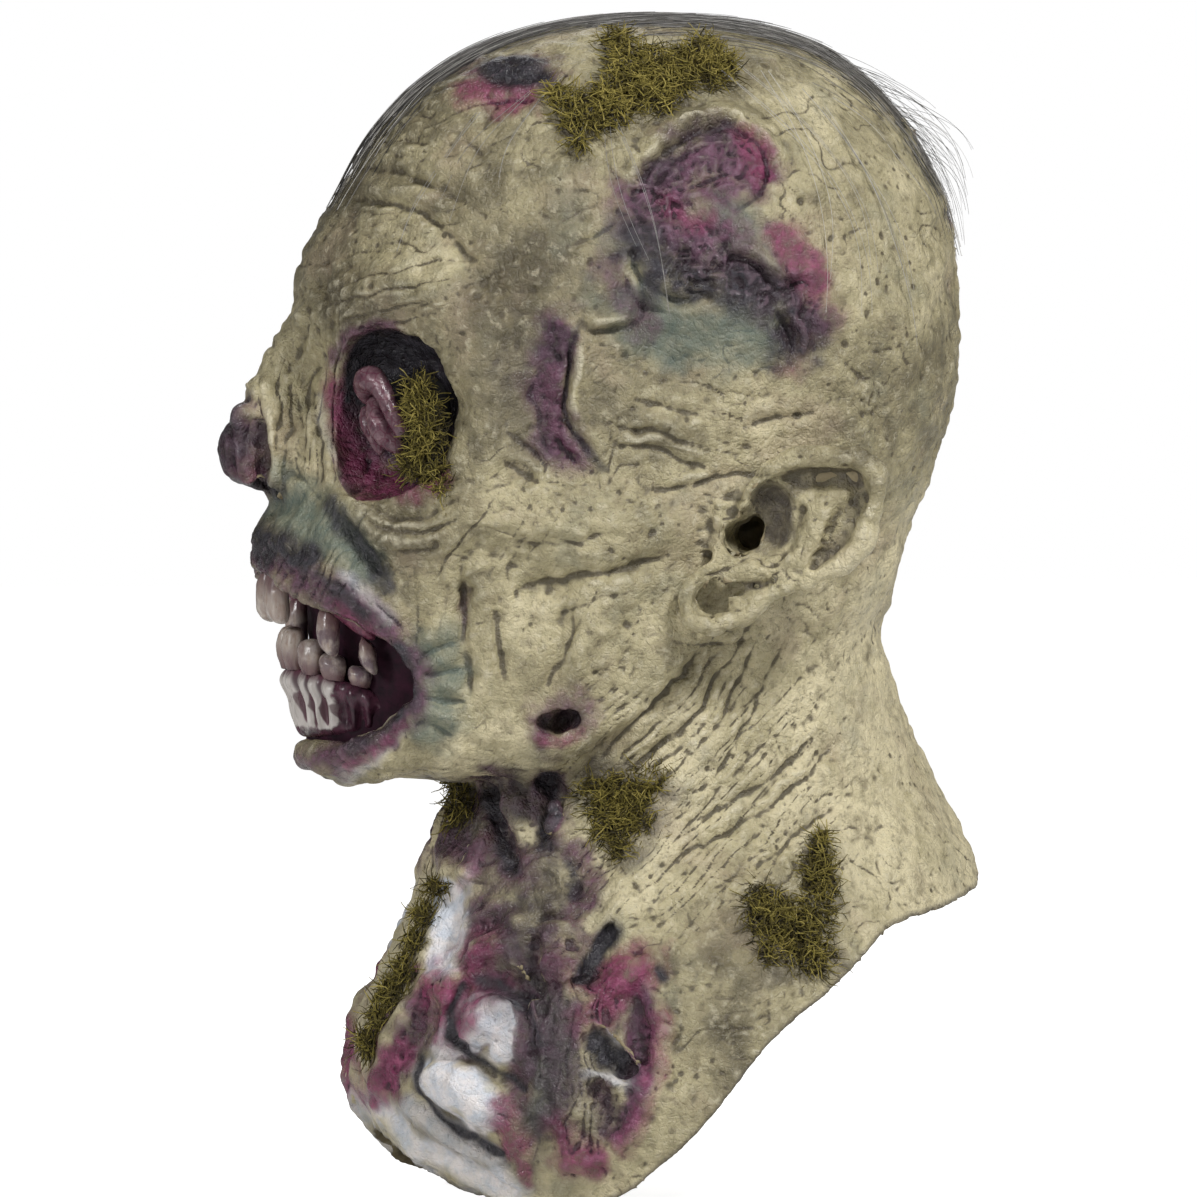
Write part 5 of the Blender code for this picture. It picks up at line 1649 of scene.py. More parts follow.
def painted_latex():
    paint = Paint("painted_latex")
    purple, magenta, blue = paint.layer("paint_flesh")
    teal, bone, grime = paint.layer("paint_skin")
    fine, broad, tone = paint.layer("form")
    blotch = paint.noise(24, 5, 0.62)
    patch = paint.noise(9, 5, 0.62)
    mottle = paint.noise(4, 4, 0.65)
    grain = paint.noise(1.1, 3, 0.6)
    shade = paint.plus(tone, paint.swing(blotch, 1.35))
    shade = paint.plus(shade, paint.swing(patch, 1.0))
    colour = paint.colours(shade, (
        (0.0, (0.105, 0.088, 0.050)), (0.3, (0.225, 0.195, 0.115)), (0.5, (0.360, 0.315, 0.185)),
        (0.72, (0.500, 0.440, 0.265)), (1.0, (0.700, 0.620, 0.400)),
    ))
    # warm, cool and brown stains
    warm = paint.ramp(paint.noise(30, 4, 0.6, stretch=(1.3, 0.8, 1)), 0.52, 0.70, 0, 0.40)
    colour = paint.mix(warm, colour, (0.40, 0.31, 0.215))
    cool = paint.ramp(paint.noise(26, 4, 0.6, stretch=(0.8, 1.2, 1.1)), 0.54, 0.72, 0, 0.40)
    colour = paint.mix(cool, colour, (0.235, 0.240, 0.175))
    colour = paint.stain(colour, patch, 0.52, 0.70, 0.60, (0.190, 0.155, 0.085))
    colour = paint.stain(colour, mottle, 0.52, 0.72, 0.50, (0.165, 0.140, 0.078))
    colour = paint.stain(colour, mottle, 0.46, 0.30, 0.40, (0.66, 0.60, 0.43))
    fleck = paint.ramp(paint.noise(1.6, 2), 0.62, 0.74)
    specks = paint.times(fleck, paint.ramp(blotch, 0.42, 0.6))
    colour = paint.mix(paint.times(specks, 0.6), colour, (0.10, 0.08, 0.045))
    # the dark wash lies in the folds and is wiped off the high places, and is painted shade in the
    # folds as well
    wash_and_shade = paint.ramp(fine, 0.490, 0.28)
    colour = paint.mix(paint.times(wash_and_shade, 0.88), colour, (0.086, 0.068, 0.040))
    # painted shade in the wide hollows
    colour = paint.stain(colour, broad, 0.45, 0.05, 0.70, (0.125, 0.108, 0.068))
    # painted highlight on the ridges
    colour = paint.stain(colour, fine, 0.55, 0.85, 0.55, (0.72, 0.66, 0.49))
    ragged = paint.plus(paint.times(mottle, 0.9), 0.52)

    def brushed(mask, strength):
        return paint.times(paint.times(mask, ragged), strength)

    # near-black brown: grime, and painted shade in grooves, hollows, the ear and under the moss
    colour = paint.mix(brushed(grime, 0.9), colour, (0.100, 0.084, 0.066))
    colour = paint.mix(brushed(teal, 0.80), colour, (0.120, 0.160, 0.135))
    ivory = paint.colours(paint.noise(6, 3), (
        (0.35, (0.66, 0.70, 0.77)), (0.6, (0.93, 0.88, 0.87)),
    ))
    colour = paint.mix(brushed(bone, 1.15), colour, ivory)
    plum = paint.colours(mottle, (
        (0.32, (0.034, 0.013, 0.030)), (0.5, (0.100, 0.038, 0.072)), (0.68, (0.190, 0.088, 0.135)),
    ))
    bared = paint.ramp(bone, 0.45, 0.95, 1.0, 0.25)
    colour = paint.mix(paint.times(brushed(purple, 1.0), bared), colour, plum)
    rose = paint.colours(mottle, (
        (0.32, (0.100, 0.010, 0.042)), (0.5, (0.195, 0.028, 0.084)), (0.68, (0.330, 0.080, 0.165)),
    ))
    colour = paint.mix(brushed(magenta, 0.9), colour, rose)
    night = paint.colours(mottle, ((0.35, (0.010, 0.009, 0.012)), (0.7, (0.052, 0.048, 0.058))))
    colour = paint.mix(brushed(blue, 1.1), colour, night)
    flesh = paint.math("MAXIMUM", purple, magenta)
    # painted shade in the creases of the flesh, and a painted highlight on its ridges
    flesh_crease_shade = paint.times(paint.ramp(fine, 0.47, 0.22), flesh)
    colour = paint.mix(paint.times(flesh_crease_shade, 0.85), colour, (0.018, 0.007, 0.012))
    lit = paint.times(paint.ramp(fine, 0.56, 0.85), flesh)
    colour = paint.mix(paint.times(lit, 0.22), colour, (0.36, 0.24, 0.30))
    rough = paint.plus(paint.times(patch, 0.40), 0.14)
    rough = paint.minus(rough, paint.times(flesh, 0.14))
    rough = paint.minus(rough, paint.ramp(broad, 0.55, 0.95, 0, 0.12))
    lines = paint.ramp(paint.cells(2.2), 0.0, 0.22)
    leathery = paint.plus(paint.times(lines, 0.25), paint.times(grain, 0.9))
    leathery = paint.plus(leathery, paint.times(paint.noise(0.45, 2), 0.35))
    leathery = paint.plus(leathery, paint.times(mottle, 1.6))
    return paint.finish(colour, paint.bump(leathery, 0.75, 0.95), rough)


def raw_latex():
    """The unpainted inside, with painted shade behind the mouth and the eyes."""
    paint = Paint("raw_latex", 0.6)
    hollow, _, _ = paint.layer("hollow")
    cloud = paint.noise(18, 4, 0.6)
    colour = paint.colours(cloud, ((0.3, (0.22, 0.175, 0.095)), (0.7, (0.36, 0.30, 0.18))))
    colour = paint.stain(colour, paint.noise(3, 3), 0.55, 0.75, 0.4, (0.14, 0.11, 0.06))
    painted_shade_colour = paint.colours(paint.noise(7, 4), (
        (0.3, (0.010, 0.006, 0.009)), (0.7, (0.060, 0.022, 0.036)),
    ))
    painted_shade_share = paint.plus(hollow, paint.swing(cloud, 0.5))
    colour = paint.mix(paint.ramp(painted_shade_share, 0.25, 0.75), colour, painted_shade_colour)
    return paint.finish(colour, paint.bump(paint.noise(1.5, 4), 0.5))


# near-black: painted shade inside the mouth
def mouth_shade_sheet():
    paint = Paint("mouth_shade_sheet")
    paint.shader.inputs["Specular IOR Level"].default_value = 0.15
    spot = paint.noise(6, 4, 0.6)
    colour = paint.colours(spot, ((0.3, (0.006, 0.002, 0.005)), (0.7, (0.048, 0.014, 0.028))))
    colour = paint.stain(colour, paint.noise(1.8, 3), 0.55, 0.75, 0.5, (0.012, 0.006, 0.010))
    rough = paint.ramp(spot, 0.3, 0.7, 0.5, 0.8)
    return paint.finish(colour, paint.bump(spot, 0.8), rough)


def stained_tooth():
    paint = Paint("stained_tooth")
    root, _, rotten = paint.layer("tooth")
    streak = paint.noise(1.8, 3, 0.6, stretch=(1, 1, 0.25))
    colour = paint.colours(streak, ((0.35, (0.40, 0.31, 0.26)), (0.65, (0.60, 0.54, 0.48))))
    stain = paint.times(rotten, paint.ramp(paint.noise(4, 3), 0.30, 0.62))
    colour = paint.mix(stain, colour, (0.120, 0.075, 0.100))
    neck = paint.plus(root, paint.swing(streak, 0.7))
    colour = paint.stain(colour, neck, 0.35, 0.90, 0.90, (0.15, 0.080, 0.085))
    colour = paint.stain(colour, neck, 0.85, 1.1, 0.9, (0.055, 0.018, 0.030))
    colour = paint.stain(colour, paint.noise(0.9, 2), 0.6, 0.75, 0.5, (0.20, 0.14, 0.09))
    rough = paint.ramp(streak, 0.3, 0.7, 0.12, 0.32)
    return paint.finish(colour, paint.bump(streak, 0.25, 0.8), rough)


def jaw_bone():
    """Bare ridged bone in front that goes over into dark flesh at its sides and foot."""
    paint = Paint("jaw_bone")
    fine, broad, mouth = paint.layer("form")
    fleshy, groove, _ = paint.layer("bare")
    streak = paint.noise(2.5, 4, 0.6, stretch=(1, 1, 0.22))
    colour = paint.colours(streak, ((0.3, (0.44, 0.40, 0.37)), (0.7, (0.68, 0.64, 0.61))))
    # painted shade in the grooves between its ridges, in its wide hollows and in its creases
    colour = paint.stain(colour, groove, 0.35, 0.85, 0.92, (0.060, 0.026, 0.036))
    colour = paint.stain(colour, broad, 0.50, 0.30, 0.9, (0.13, 0.045, 0.075))
    colour = paint.stain(colour, fine, 0.48, 0.30, 0.8, (0.085, 0.035, 0.045))
    colour = paint.stain(colour, mouth, 0.84, 1.0, 0.85, (0.12, 0.035, 0.060))
    spot = paint.noise(4, 4, 0.6)
    flesh = paint.colours(spot, ((0.3, (0.014, 0.005, 0.010)), (0.7, (0.110, 0.036, 0.062))))
    edge = paint.plus(fleshy, paint.swing(spot, 0.9))
    colour = paint.mix(paint.ramp(edge, 0.35, 0.65), colour, flesh)
    rough = paint.ramp(streak, 0.3, 0.7, 0.20, 0.45)
    return paint.finish(colour, paint.bump(streak, 0.4, 0.8), rough)


def wet_gum():
    paint = Paint("wet_gum")
    fine, _, _ = paint.layer("form")
    spot = paint.noise(2.5, 4, 0.6)
    colour = paint.colours(spot, ((0.3, (0.085, 0.020, 0.045)), (0.7, (0.24, 0.070, 0.110))))
    # painted shade in its creases
    colour = paint.stain(colour, fine, 0.49, 0.32, 0.85, (0.025, 0.006, 0.014))
    rough = paint.ramp(spot, 0.3, 0.7, 0.20, 0.38)
    return paint.finish(colour, paint.bump(spot, 0.4), rough)


def torn_tissue():
    paint = Paint("torn_tissue")
    spot = paint.noise(3.0, 4, 0.6)
    vein = paint.ramp(paint.cells(3.5), 0.0, 0.10, 1.0, 0.0)
    colour = paint.colours(spot, ((0.3, (0.070, 0.024, 0.040)), (0.7, (0.250, 0.150, 0.170))))
    colour = paint.mix(paint.times(vein, 0.6), colour, (0.10, 0.012, 0.035))
    rough = paint.ramp(spot, 0.3, 0.7, 0.12, 0.30)
    return paint.finish(colour, paint.bump(spot, 0.5), rough)


def black_gauze():
    """A plain weave: threads 0.9 mm apart, seen as bump and as painted highlights on their crowns.
    """
    paint = Paint("black_gauze", 0.85)
    split = paint.node("ShaderNodeSeparateXYZ")
    paint.feed(split.inputs["Vector"], paint.place)
    waves = []
    for axis in ("X", "Z"):
        turns = paint.times(split.outputs[axis], 2 * math.pi / (0.9 * MM))
        waves.append(paint.math("SINE", turns))
    weave = paint.math("ABSOLUTE", paint.times(waves[0], waves[1]))
    fluff = paint.noise(0.4, 2)
    colour = paint.colours(weave, ((0.1, (0.003, 0.003, 0.003)), (0.8, (0.020, 0.019, 0.018))))
    colour = paint.stain(colour, fluff, 0.6, 0.8, 0.3, (0.035, 0.032, 0.030))
    return paint.finish(colour, paint.bump(weave, 0.3))


def dry_moss():
    paint = Paint("dry_moss", 0.9)
    strand, along, _ = paint.layer("strand")
    shade = paint.plus(paint.times(strand, 0.75), paint.times(along, 0.25))
    shade = paint.plus(shade, paint.swing(paint.noise(6, 2), 0.7))
    colour = paint.colours(shade, (
        (0.05, (0.022, 0.017, 0.005)), (0.30, (0.085, 0.067, 0.014)), (0.60, (0.230, 0.190, 0.036)),
        (0.90, (0.430, 0.350, 0.090)),
    ))
    return paint.finish(colour, paint.bump(paint.noise(0.5, 2), 0.2))


def grey_hair():
    paint = Paint("grey_hair")
    strand, along, _ = paint.layer("strand")
    colour = paint.colours(strand, (
        (0.0, (0.010, 0.009, 0.009)), (0.45, (0.050, 0.047, 0.044)), (0.7, (0.20, 0.19, 0.18)),
        (1.0, (0.58, 0.56, 0.52)),
    ))
    colour = paint.mix(paint.times(along, 0.25), colour, (0.45, 0.43, 0.40))
    rough = paint.ramp(paint.noise(2, 2), 0.3, 0.7, 0.35, 0.55)
    return paint.finish(colour, paint.bump(paint.noise(0.6, 2), 0.05), rough)


# Pieces

def stands_for(piece, slot, *nodes):
    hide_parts(*nodes)
    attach(piece, BODY)


# away from its hem the wall is drawn thinner, so that it fits inside the ear and the flaps
def build_skin(surface, inside):
    points, faces = trimmed_skin()
    skin = mesh_object("latex_mask_skin", points, faces)
    mesh = refined(skin)
    add_layers(shape_skin(mesh), neighbour_mean(mesh))
    thick = skin.vertex_groups.new(name="thick")
    places = points_of(mesh)
    rise = places[:, 2] - hem_height(places[:, 0], places[:, 1])
    thick.add(np.flatnonzero(rise < THICK_HEM).tolist(), 1.0, "REPLACE")
    wall = skin.modifiers.new("wall", "SOLIDIFY")
    wall.thickness = LATEX * MM
    wall.offset = -1
    wall.vertex_group = "thick"
    wall.thickness_vertex_group = THIN_SHARE
    wall.material_offset = 1
    wall.material_offset_rim = 1
    mesh.materials.append(surface)
    mesh.materials.append(inside)
    applied(skin)
    stands_for(skin, "latex", "latex_skin")


# kind, angle round the arch, width, depth, length, lean
UPPER_TEETH = (
    ("incisor", 12, 11.0, 8.5, 16.5, 4),
    ("canine", 50, 9.5, 8.5, 13.5, -4),
    ("molar", 69, 8.5, 8.0, 8.5, -3),
)
LOWER_TEETH = (
    ("incisor", 10, 8.5, 8.0, 13.2, -3),
    ("canine", 27, 9.0, 8.5, 10.5, 3),
    ("premolar", 43, 9.5, 9.0, 7.2, 0),
    ("molar", 58, 8.5, 8.5, 5.2, 2),
)
# share of a tooth's length from its root, and how full it is there
TOOTH_SWELL = (
    (0, 0.74), (0.12, 0.80), (0.30, 0.94), (0.62, 1.0), (0.80, 0.93), (0.91, 0.76), (0.97, 0.5),
    (1.0, 0.06),
)
UPPER_ARCH = {"centre_y": -99.0, "half_x": 36.5, "half_y": 41.2, "height": -9.0, "drop": 0.90}
LOWER_ARCH = {"centre_y": -94.5, "half_x": 30.5, "half_y": 39.0, "height": -57.5, "drop": 0.26}


def arch_point(arch, angle):
    """A point on a dental arch's middle line. Angle 0 is the front, in degrees."""
    turn = math.radians(angle)
    x = arch["half_x"] * math.sin(turn)
    y = arch["centre_y"] - arch["half_y"] * math.cos(turn)
    back = y - (arch["centre_y"] - arch["half_y"])
    return np.array((x, y, arch["height"] - arch["drop"] * back))


def arch_frame(arch, angle):
    ahead = arch_point(arch, angle + 1) - arch_point(arch, angle - 1)
    ahead /= np.linalg.norm(ahead)
    outward = np.cross(ahead, (0, 0, 1))
    return ahead, outward / np.linalg.norm(outward)


def build_tooth(name, arch, gum_half, angle, size, lean, up, seed, rotten, surface):
    """A worn crown: flared from its neck, flat behind, with ridges down its face."""
    width, depth, length = size
    ahead, outward = arch_frame(arch, angle)
    rise = np.array((0, 0, up)) + ahead * math.tan(math.radians(lean))
    rise /= np.linalg.norm(rise)
    root = arch_point(arch, angle) + np.array((0, 0, up * (gum_half - 1.2)))
    long = length + 1.6
    rows, sides = 26, 28
    share = np.linspace(0, 1, rows)
    swell = np.interp(share, *zip(*TOOTH_SWELL))
    around = np.linspace(0, 2 * math.pi, sides, endpoint=False)
    rings = np.zeros((rows, sides, 3))
    for i in range(rows):
        side = np.sign(np.cos(around)) * np.abs(np.cos(around)) ** 0.85 * width / 2 * swell[i]
        face = np.sin(around) * depth / 2 * swell[i]
        face = np.where(face > 0, face * (1 + 0.03 * np.cos(side * 1.4 + seed)), face * 0.86)
        bow = 0.10 * depth * math.sin(math.pi * share[i])
        rings[i] = (
            root + rise * long * share[i] + np.outer(side, ahead) + np.outer(face + bow, outward)
        )
    points, faces = ring_mesh(rings)
    points = points + 0.22 * noise_3d(points, 3.0, seed)
    tooth = mesh_object(name, points, faces)
    face_outwards(tooth.data, ring_ends(rows, sides))
    along = np.repeat(share, sides)
    colour_layer(tooth.data, "tooth", (1 - along, along, rotten + 0 * along))
    refined(tooth).materials.append(surface)
    return tooth


def build_gum(name, arch, half_across, half_up, foot_taper, teeth, surface, ridged):
    """The bar that the teeth stand on, scalloped round each and, below, ridged like bare bone."""
    stations, sides = 181, 36
    sweep = 72
    rings = np.zeros((stations, sides, 3))
    grooves = np.zeros(stations)
    recess = 0.0
    around = np.linspace(0, 2 * math.pi, sides, endpoint=False)
    angles = [a * s for _, a, *_ in teeth for s in (-1, 1)]
    up = 1 if ridged else -1
    for i in range(stations):
        share = -1 + 2 * i / (stations - 1)
        angle = sweep * share
        centre = arch_point(arch, angle)
        _, outward = arch_frame(arch, angle)
        end = math.sqrt(max(1 - abs(share) ** 14, 0.02))
        near_tooth = sum(math.exp(-(((angle - a) / 6.5) ** 2)) for a in angles)
        foot = half_up * (1 - 2 * foot_taper * share * share)
        rise = np.sin(around)
        tall = np.where(rise * up > 0, half_up, foot if ridged else half_up)
        across = half_across * (1 + 0.28 * (near_tooth - 0.45) * np.clip(rise * up + 0.6, 0, 1.4))
        if ridged:
            spread = angle * 34 + 50 * math.sin(angle * 0.21)
            ridge = math.cos(math.radians(spread))
            grooves[i] = 0.5 - 0.5 * ridge
            outside = np.clip(np.cos(around), 0, 1) ** 0.5
            recess = 4.6 * ease(0.75, 0.0, rise)
            full = np.interp(rise, (-1, -0.2, 0.8), (0.3, 1, 0.5))
            across = across + (1.5 * ridge - 0.8) * outside * full
        rings[i] = (
            centre
            + np.outer(np.cos(around) * across * end - recess, outward)
            + np.outer(rise * tall * end, (0, 0, 1))
        )
    points, faces = ring_mesh(rings)
    points = points + 0.35 * noise_3d(points, 4.0, 60, 2)
    gum = mesh_object(name, points, faces)
    grid = gum.data
    face_outwards(grid, ring_ends(stations, sides))
    fine, broad = relief(grid, neighbour_mean(grid), 6, 30)
    level = np.tile(0.5 + 0.5 * up * np.sin(around), stations)
    colour_layer(grid, "form", (
        np.clip(0.5 + 1.2 * fine, 0, 1), np.clip(0.5 + 0.5 * broad, 0, 1), level,
    ))
    turn = np.abs(np.linspace(-sweep, sweep, stations))
    fleshy = ease(38, 52, turn)[:, None] + 0.75 * ease(0.30, 0.06, 0.5 + 0.5 * np.sin(around))
    groove = grooves[:, None] * (0.6 + 0.4 * np.sin(around))
    colour_layer(grid, "bare", (np.clip(fleshy, 0, 1).ravel(), groove.ravel(), 0 * level))
    refined(gum).materials.append(surface)
    return gum


def build_mouth_shade_sheet(surface):
    """A dark pocket that closes the mouth off behind the teeth: painted shade, standing in for the
    dark inside the mouth.
    """
    rows, columns = 34, 61
    turn = np.linspace(-1.0, 1.0, columns)[None, :] * math.radians(98)
    height = np.linspace(0, 1, rows)[:, None]
    bulge = np.sin(math.pi * height)
    x = (27 + 3 * bulge) * np.sin(turn) * (1 + 0.25 * np.abs(np.sin(turn)) ** 6)
    y = -94 - (34 - 2 * bulge) * np.cos(turn)
    z = -9 - 66 * height + 0 * turn
    points = np.stack([x, y, z], axis=-1).reshape(-1, 3)
    points += 1.6 * noise_3d(points, 11, 130, 3)
    shade_sheet = mesh_object("mouth_shade_sheet", points, grid_faces(rows, columns))
    add_wall(shade_sheet, 1.2)
    refined(shade_sheet).materials.append(surface)
    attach(shade_sheet, BODY)


TOOTH_SEED = 100


def build_mouth(tooth_surface, bone_surface, gum_surface):
    upper = build_gum(
        "upper_gum_flesh", UPPER_ARCH, 4.0, 4.5, 0.0, UPPER_TEETH, gum_surface, ridged=False
    )
    stands_for(upper, "gum", "upper_gum")
    lower = build_gum(
        "bared_lower_jaw", LOWER_ARCH, 4.3, 11.6, 0.45, LOWER_TEETH, bone_surface, ridged=True
    )
    stands_for(lower, "jaw_bone", "lower_gum")
    # half the height of the gum that the teeth stand on, and which way they grow
    jaws = (
        ("upper", UPPER_TEETH, UPPER_ARCH, 4.5, -1),
        ("lower", LOWER_TEETH, LOWER_ARCH, 12.0, 1),
    )
    seed = TOOTH_SEED
    for jaw, teeth, arch, gum_half, up in jaws:
        for word, side in (("left", 1), ("right", -1)):
            for kind, angle, width, depth, length, lean in teeth:
                seed += 3
                rotten = min(angle / 60, 0.9)
                tooth = build_tooth(
                    f"{jaw}_{word}_{kind}_tooth", arch, gum_half, side * angle,
                    (width, depth, length), side * lean, up, seed, rotten, tooth_surface,
                )
                stands_for(tooth, "tooth", f"{jaw}_{word}_{kind}")


def box_mm(node):
    low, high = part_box(node)
    return np.array(low) / MM, np.array(high) / MM


# half the width and half the height of the gauze, and its places along each
GAUZE_HALF_ACROSS, GAUZE_HALF_UP = 12.6, 15.3
GAUZE_ROWS = 22
# strands of tissue in the socket: places across it, out of it and up, and radius
TISSUE_STRANDS = (
    (
        (-12, -5, 4, 2.8), (-11.5, -1.5, 9.0, 4.4), (-8.0, 1.0, 12.0, 5.0), (-3.5, 1.8, 10.5, 4.2),
        (0.5, 1.8, 4.5, 3.0), (4.0, 1.0, -2.0, 3.4), (6.5, -0.5, -7.5, 2.6),
    ),
    (
        (-7.5, -0.5, 5.0, 2.4), (-5.0, 1.5, 0.0, 3.6), (-3.0, 1.8, -4.5, 4.4),
        (1.0, 0.8, -9.0, 3.4), (5.0, -0.8, -12.0, 2.4),
    ),
    (
        (-13.0, -4.0, 2.0, 2.0), (-11.0, -1.0, -3.0, 2.2), (-8.0, -0.5, -8.0, 2.0),
        (-4.0, -1.5, -13.0, 1.6),
    ),
)
TISSUE_SIDES = 14


def build_eye(word, side, gauze_surface, tissue_surface):
    """A gauze screen behind the socket and three strands of torn tissue in front of it."""
    low, high = box_mm(f"{word}_eye_screen")
    centre = (low + high) / 2
    out = np.array((side * 0.64, -0.77, 0.0))
    across = np.array((side * 0.77, 0.64, 0.0))
    points = []
    ticks = np.linspace(-1, 1, GAUZE_ROWS)
    for a in ticks:
        for b in ticks:
            # a square grid pressed into a disc
            x = a * math.sqrt(1 - b * b / 2) * GAUZE_HALF_ACROSS
            z = b * math.sqrt(1 - a * a / 2) * GAUZE_HALF_UP
            sag = 1.6 * (1 - a * a) * (1 - b * b) + 0.5 * math.sin(3 * a + 2) * math.cos(4 * b)
            points.append(centre + across * x + np.array((0, 0, z)) - out * sag)
    faces = grid_faces(GAUZE_ROWS, GAUZE_ROWS)
    if side > 0:
        faces = faces[:, ::-1]
    screen = mesh_object(f"{word}_eye_gauze", np.array(points), faces)
    add_wall(screen, 0.7)
    applied(screen).materials.append(gauze_surface)
    stands_for(screen, "gauze", f"{word}_eye_screen")

    low, high = box_mm(f"{word}_eye_tissue")
    middle = (low + high) / 2
    rings_points, rings_faces, offset = [], [], 0
    for strand in TISSUE_STRANDS:
        path = curved(np.array(strand))
        centres = (
            middle + np.outer(path[:, 0], across) + np.outer(path[:, 1], out)
            + np.outer(path[:, 2], (0, 0, 1))
        )
        tangent = np.gradient(centres, axis=0)
        tangent /= np.linalg.norm(tangent, axis=1)[:, None]
        first = np.cross(tangent, out)
        first /= np.linalg.norm(first, axis=1)[:, None]
        second = np.cross(tangent, first)
        around = np.linspace(0, 2 * math.pi, TISSUE_SIDES, endpoint=False)
        rings = (
            centres[:, None] + (path[:, 3, None] * np.cos(around))[..., None] * first[:, None]
            + (path[:, 3, None] * np.sin(around))[..., None] * second[:, None]
        )
        first_cap, last_cap = (
            end[:, None].repeat(TISSUE_SIDES, axis=1) for end in (centres[:1], centres[-1:])
        )
        rings = np.concatenate([first_cap, rings, last_cap])
        points, faces = ring_mesh(rings)
        rings_points.append(points)
        rings_faces.append(faces + offset)
        offset += len(points)
    points = np.concatenate(rings_points)
    points += 0.5 * noise_3d(points, 4, 70, 2)
    tissue = mesh_object(f"{word}_torn_tissue", points, np.concatenate(rings_faces))
    face_outwards(tissue.data)
    refined(tissue, 2).materials.append(tissue_surface)
    stands_for(tissue, "raw_tissue", f"{word}_eye_tissue")


# Fibres

# a fibre or a hair is a tube of so many sides
TUBE_SIDES = 3


def tubes(name, paths, radii, tone):
    """Many thin tubes as one mesh: paths is tubes by points by three, radii tubes by points."""
    count, steps, _ = paths.shape
    tangent = np.gradient(paths, axis=1)
    tangent /= np.maximum(np.linalg.norm(tangent, axis=2, keepdims=True), 1e-6)
    helper = np.where(np.abs(tangent[..., 2:3]) > 0.8, (1.0, 0.0, 0.0), (0.0, 0.0, 1.0))
    first = np.cross(tangent, helper)
    first /= np.maximum(np.linalg.norm(first, axis=2, keepdims=True), 1e-6)
    second = np.cross(tangent, first)
    around = np.linspace(0, 2 * math.pi, TUBE_SIDES, endpoint=False)
    ring = (
        first[:, :, None] * np.cos(around)[:, None] + second[:, :, None] * np.sin(around)[:, None]
    )
    points = paths[:, :, None] + ring * radii[:, :, None, None]
    at = np.arange(count * steps * TUBE_SIDES).reshape(count, steps, TUBE_SIDES)
    faces = np.stack([
        at[:, :-1], np.roll(at[:, :-1], -1, axis=2), np.roll(at[:, 1:], -1, axis=2), at[:, 1:]
    ], axis=-1).reshape(-1, 4)
    fibres = mesh_object(name, points.reshape(-1, 3), faces)
    along = np.broadcast_to(np.linspace(0, 1, steps)[None, :, None], at.shape).ravel()
    strand = np.broadcast_to(tone[:, None, None], at.shape).ravel()
    colour_layer(fibres.data, "strand", (strand, along, 0 * along))
    return fibres


FIBRE_LENGTHS = (3.5, 8.5)
FIBRE_RADII = (0.18, 0.34)
FIBRE_POINTS = 9
# a fibre goes no deeper than this under its root
FIBRE_SINK = 0.5


def moss_paths(rng, roots, outs, length):
    """Curly fibres that start at the roots and mostly lie along the surface."""
    count = len(roots)
    ahead = rng.normal(size=(count, 3))
    ahead -= outs * (ahead * outs).sum(axis=1, keepdims=True)
    ahead /= np.maximum(np.linalg.norm(ahead, axis=1, keepdims=True), 1e-6)
    ahead = ahead + outs * rng.normal(0.05, 0.22, (count, 1))
    curl = rng.normal(size=(count, 3)) * 0.75
    step = length[:, None] / (FIBRE_POINTS - 1)
    place = roots.copy()
    made = [place]
    for _ in range(FIBRE_POINTS - 1):
        ahead = ahead + curl * 0.55 + rng.normal(size=(count, 3)) * 0.22
        ahead = ahead - 0.22 * outs * (ahead * outs).sum(axis=1, keepdims=True)
        ahead /= np.linalg.norm(ahead, axis=1, keepdims=True)
        place = place + ahead * step
        sunk = ((place - roots) * outs).sum(axis=1, keepdims=True)
        place = place - outs * np.minimum(sunk + FIBRE_SINK, 0)
        curl = curl + rng.normal(size=(count, 3)) * 0.12
        made.append(place)
    return np.stack(made, axis=1)


def place_on_loft(middle, r, t, table):
    """A place at a distance and a turn from a middle of u and z, and the way out of the loft."""
    u, z = middle[0] + r * math.cos(t), middle[1] + r * math.sin(t)
    place = np.array(near_point(u, z, table))
    other = np.array(near_point(u + 1, z, table))
    above = np.array(near_point(u, z + 1, table))
    normal = np.cross(other - place, above - place)
    if not normal.any():  # at the very top of the table all three points are one
        normal = np.array((0.0, 0.0, 1.0))
    normal /= np.linalg.norm(normal)
    return place, normal * math.copysign(1, normal[0])


def place_on_plane(middle, r, t, out):
    """A place at a distance and a turn from a middle of x, y and z, on an upright plane."""
    normal = np.array(out)
    side = np.cross((0, 0, 1), normal)
    place = np.array(middle[:3]) + side * r * math.cos(t)
    return place + np.array((0, 0, r * math.sin(t))), normal


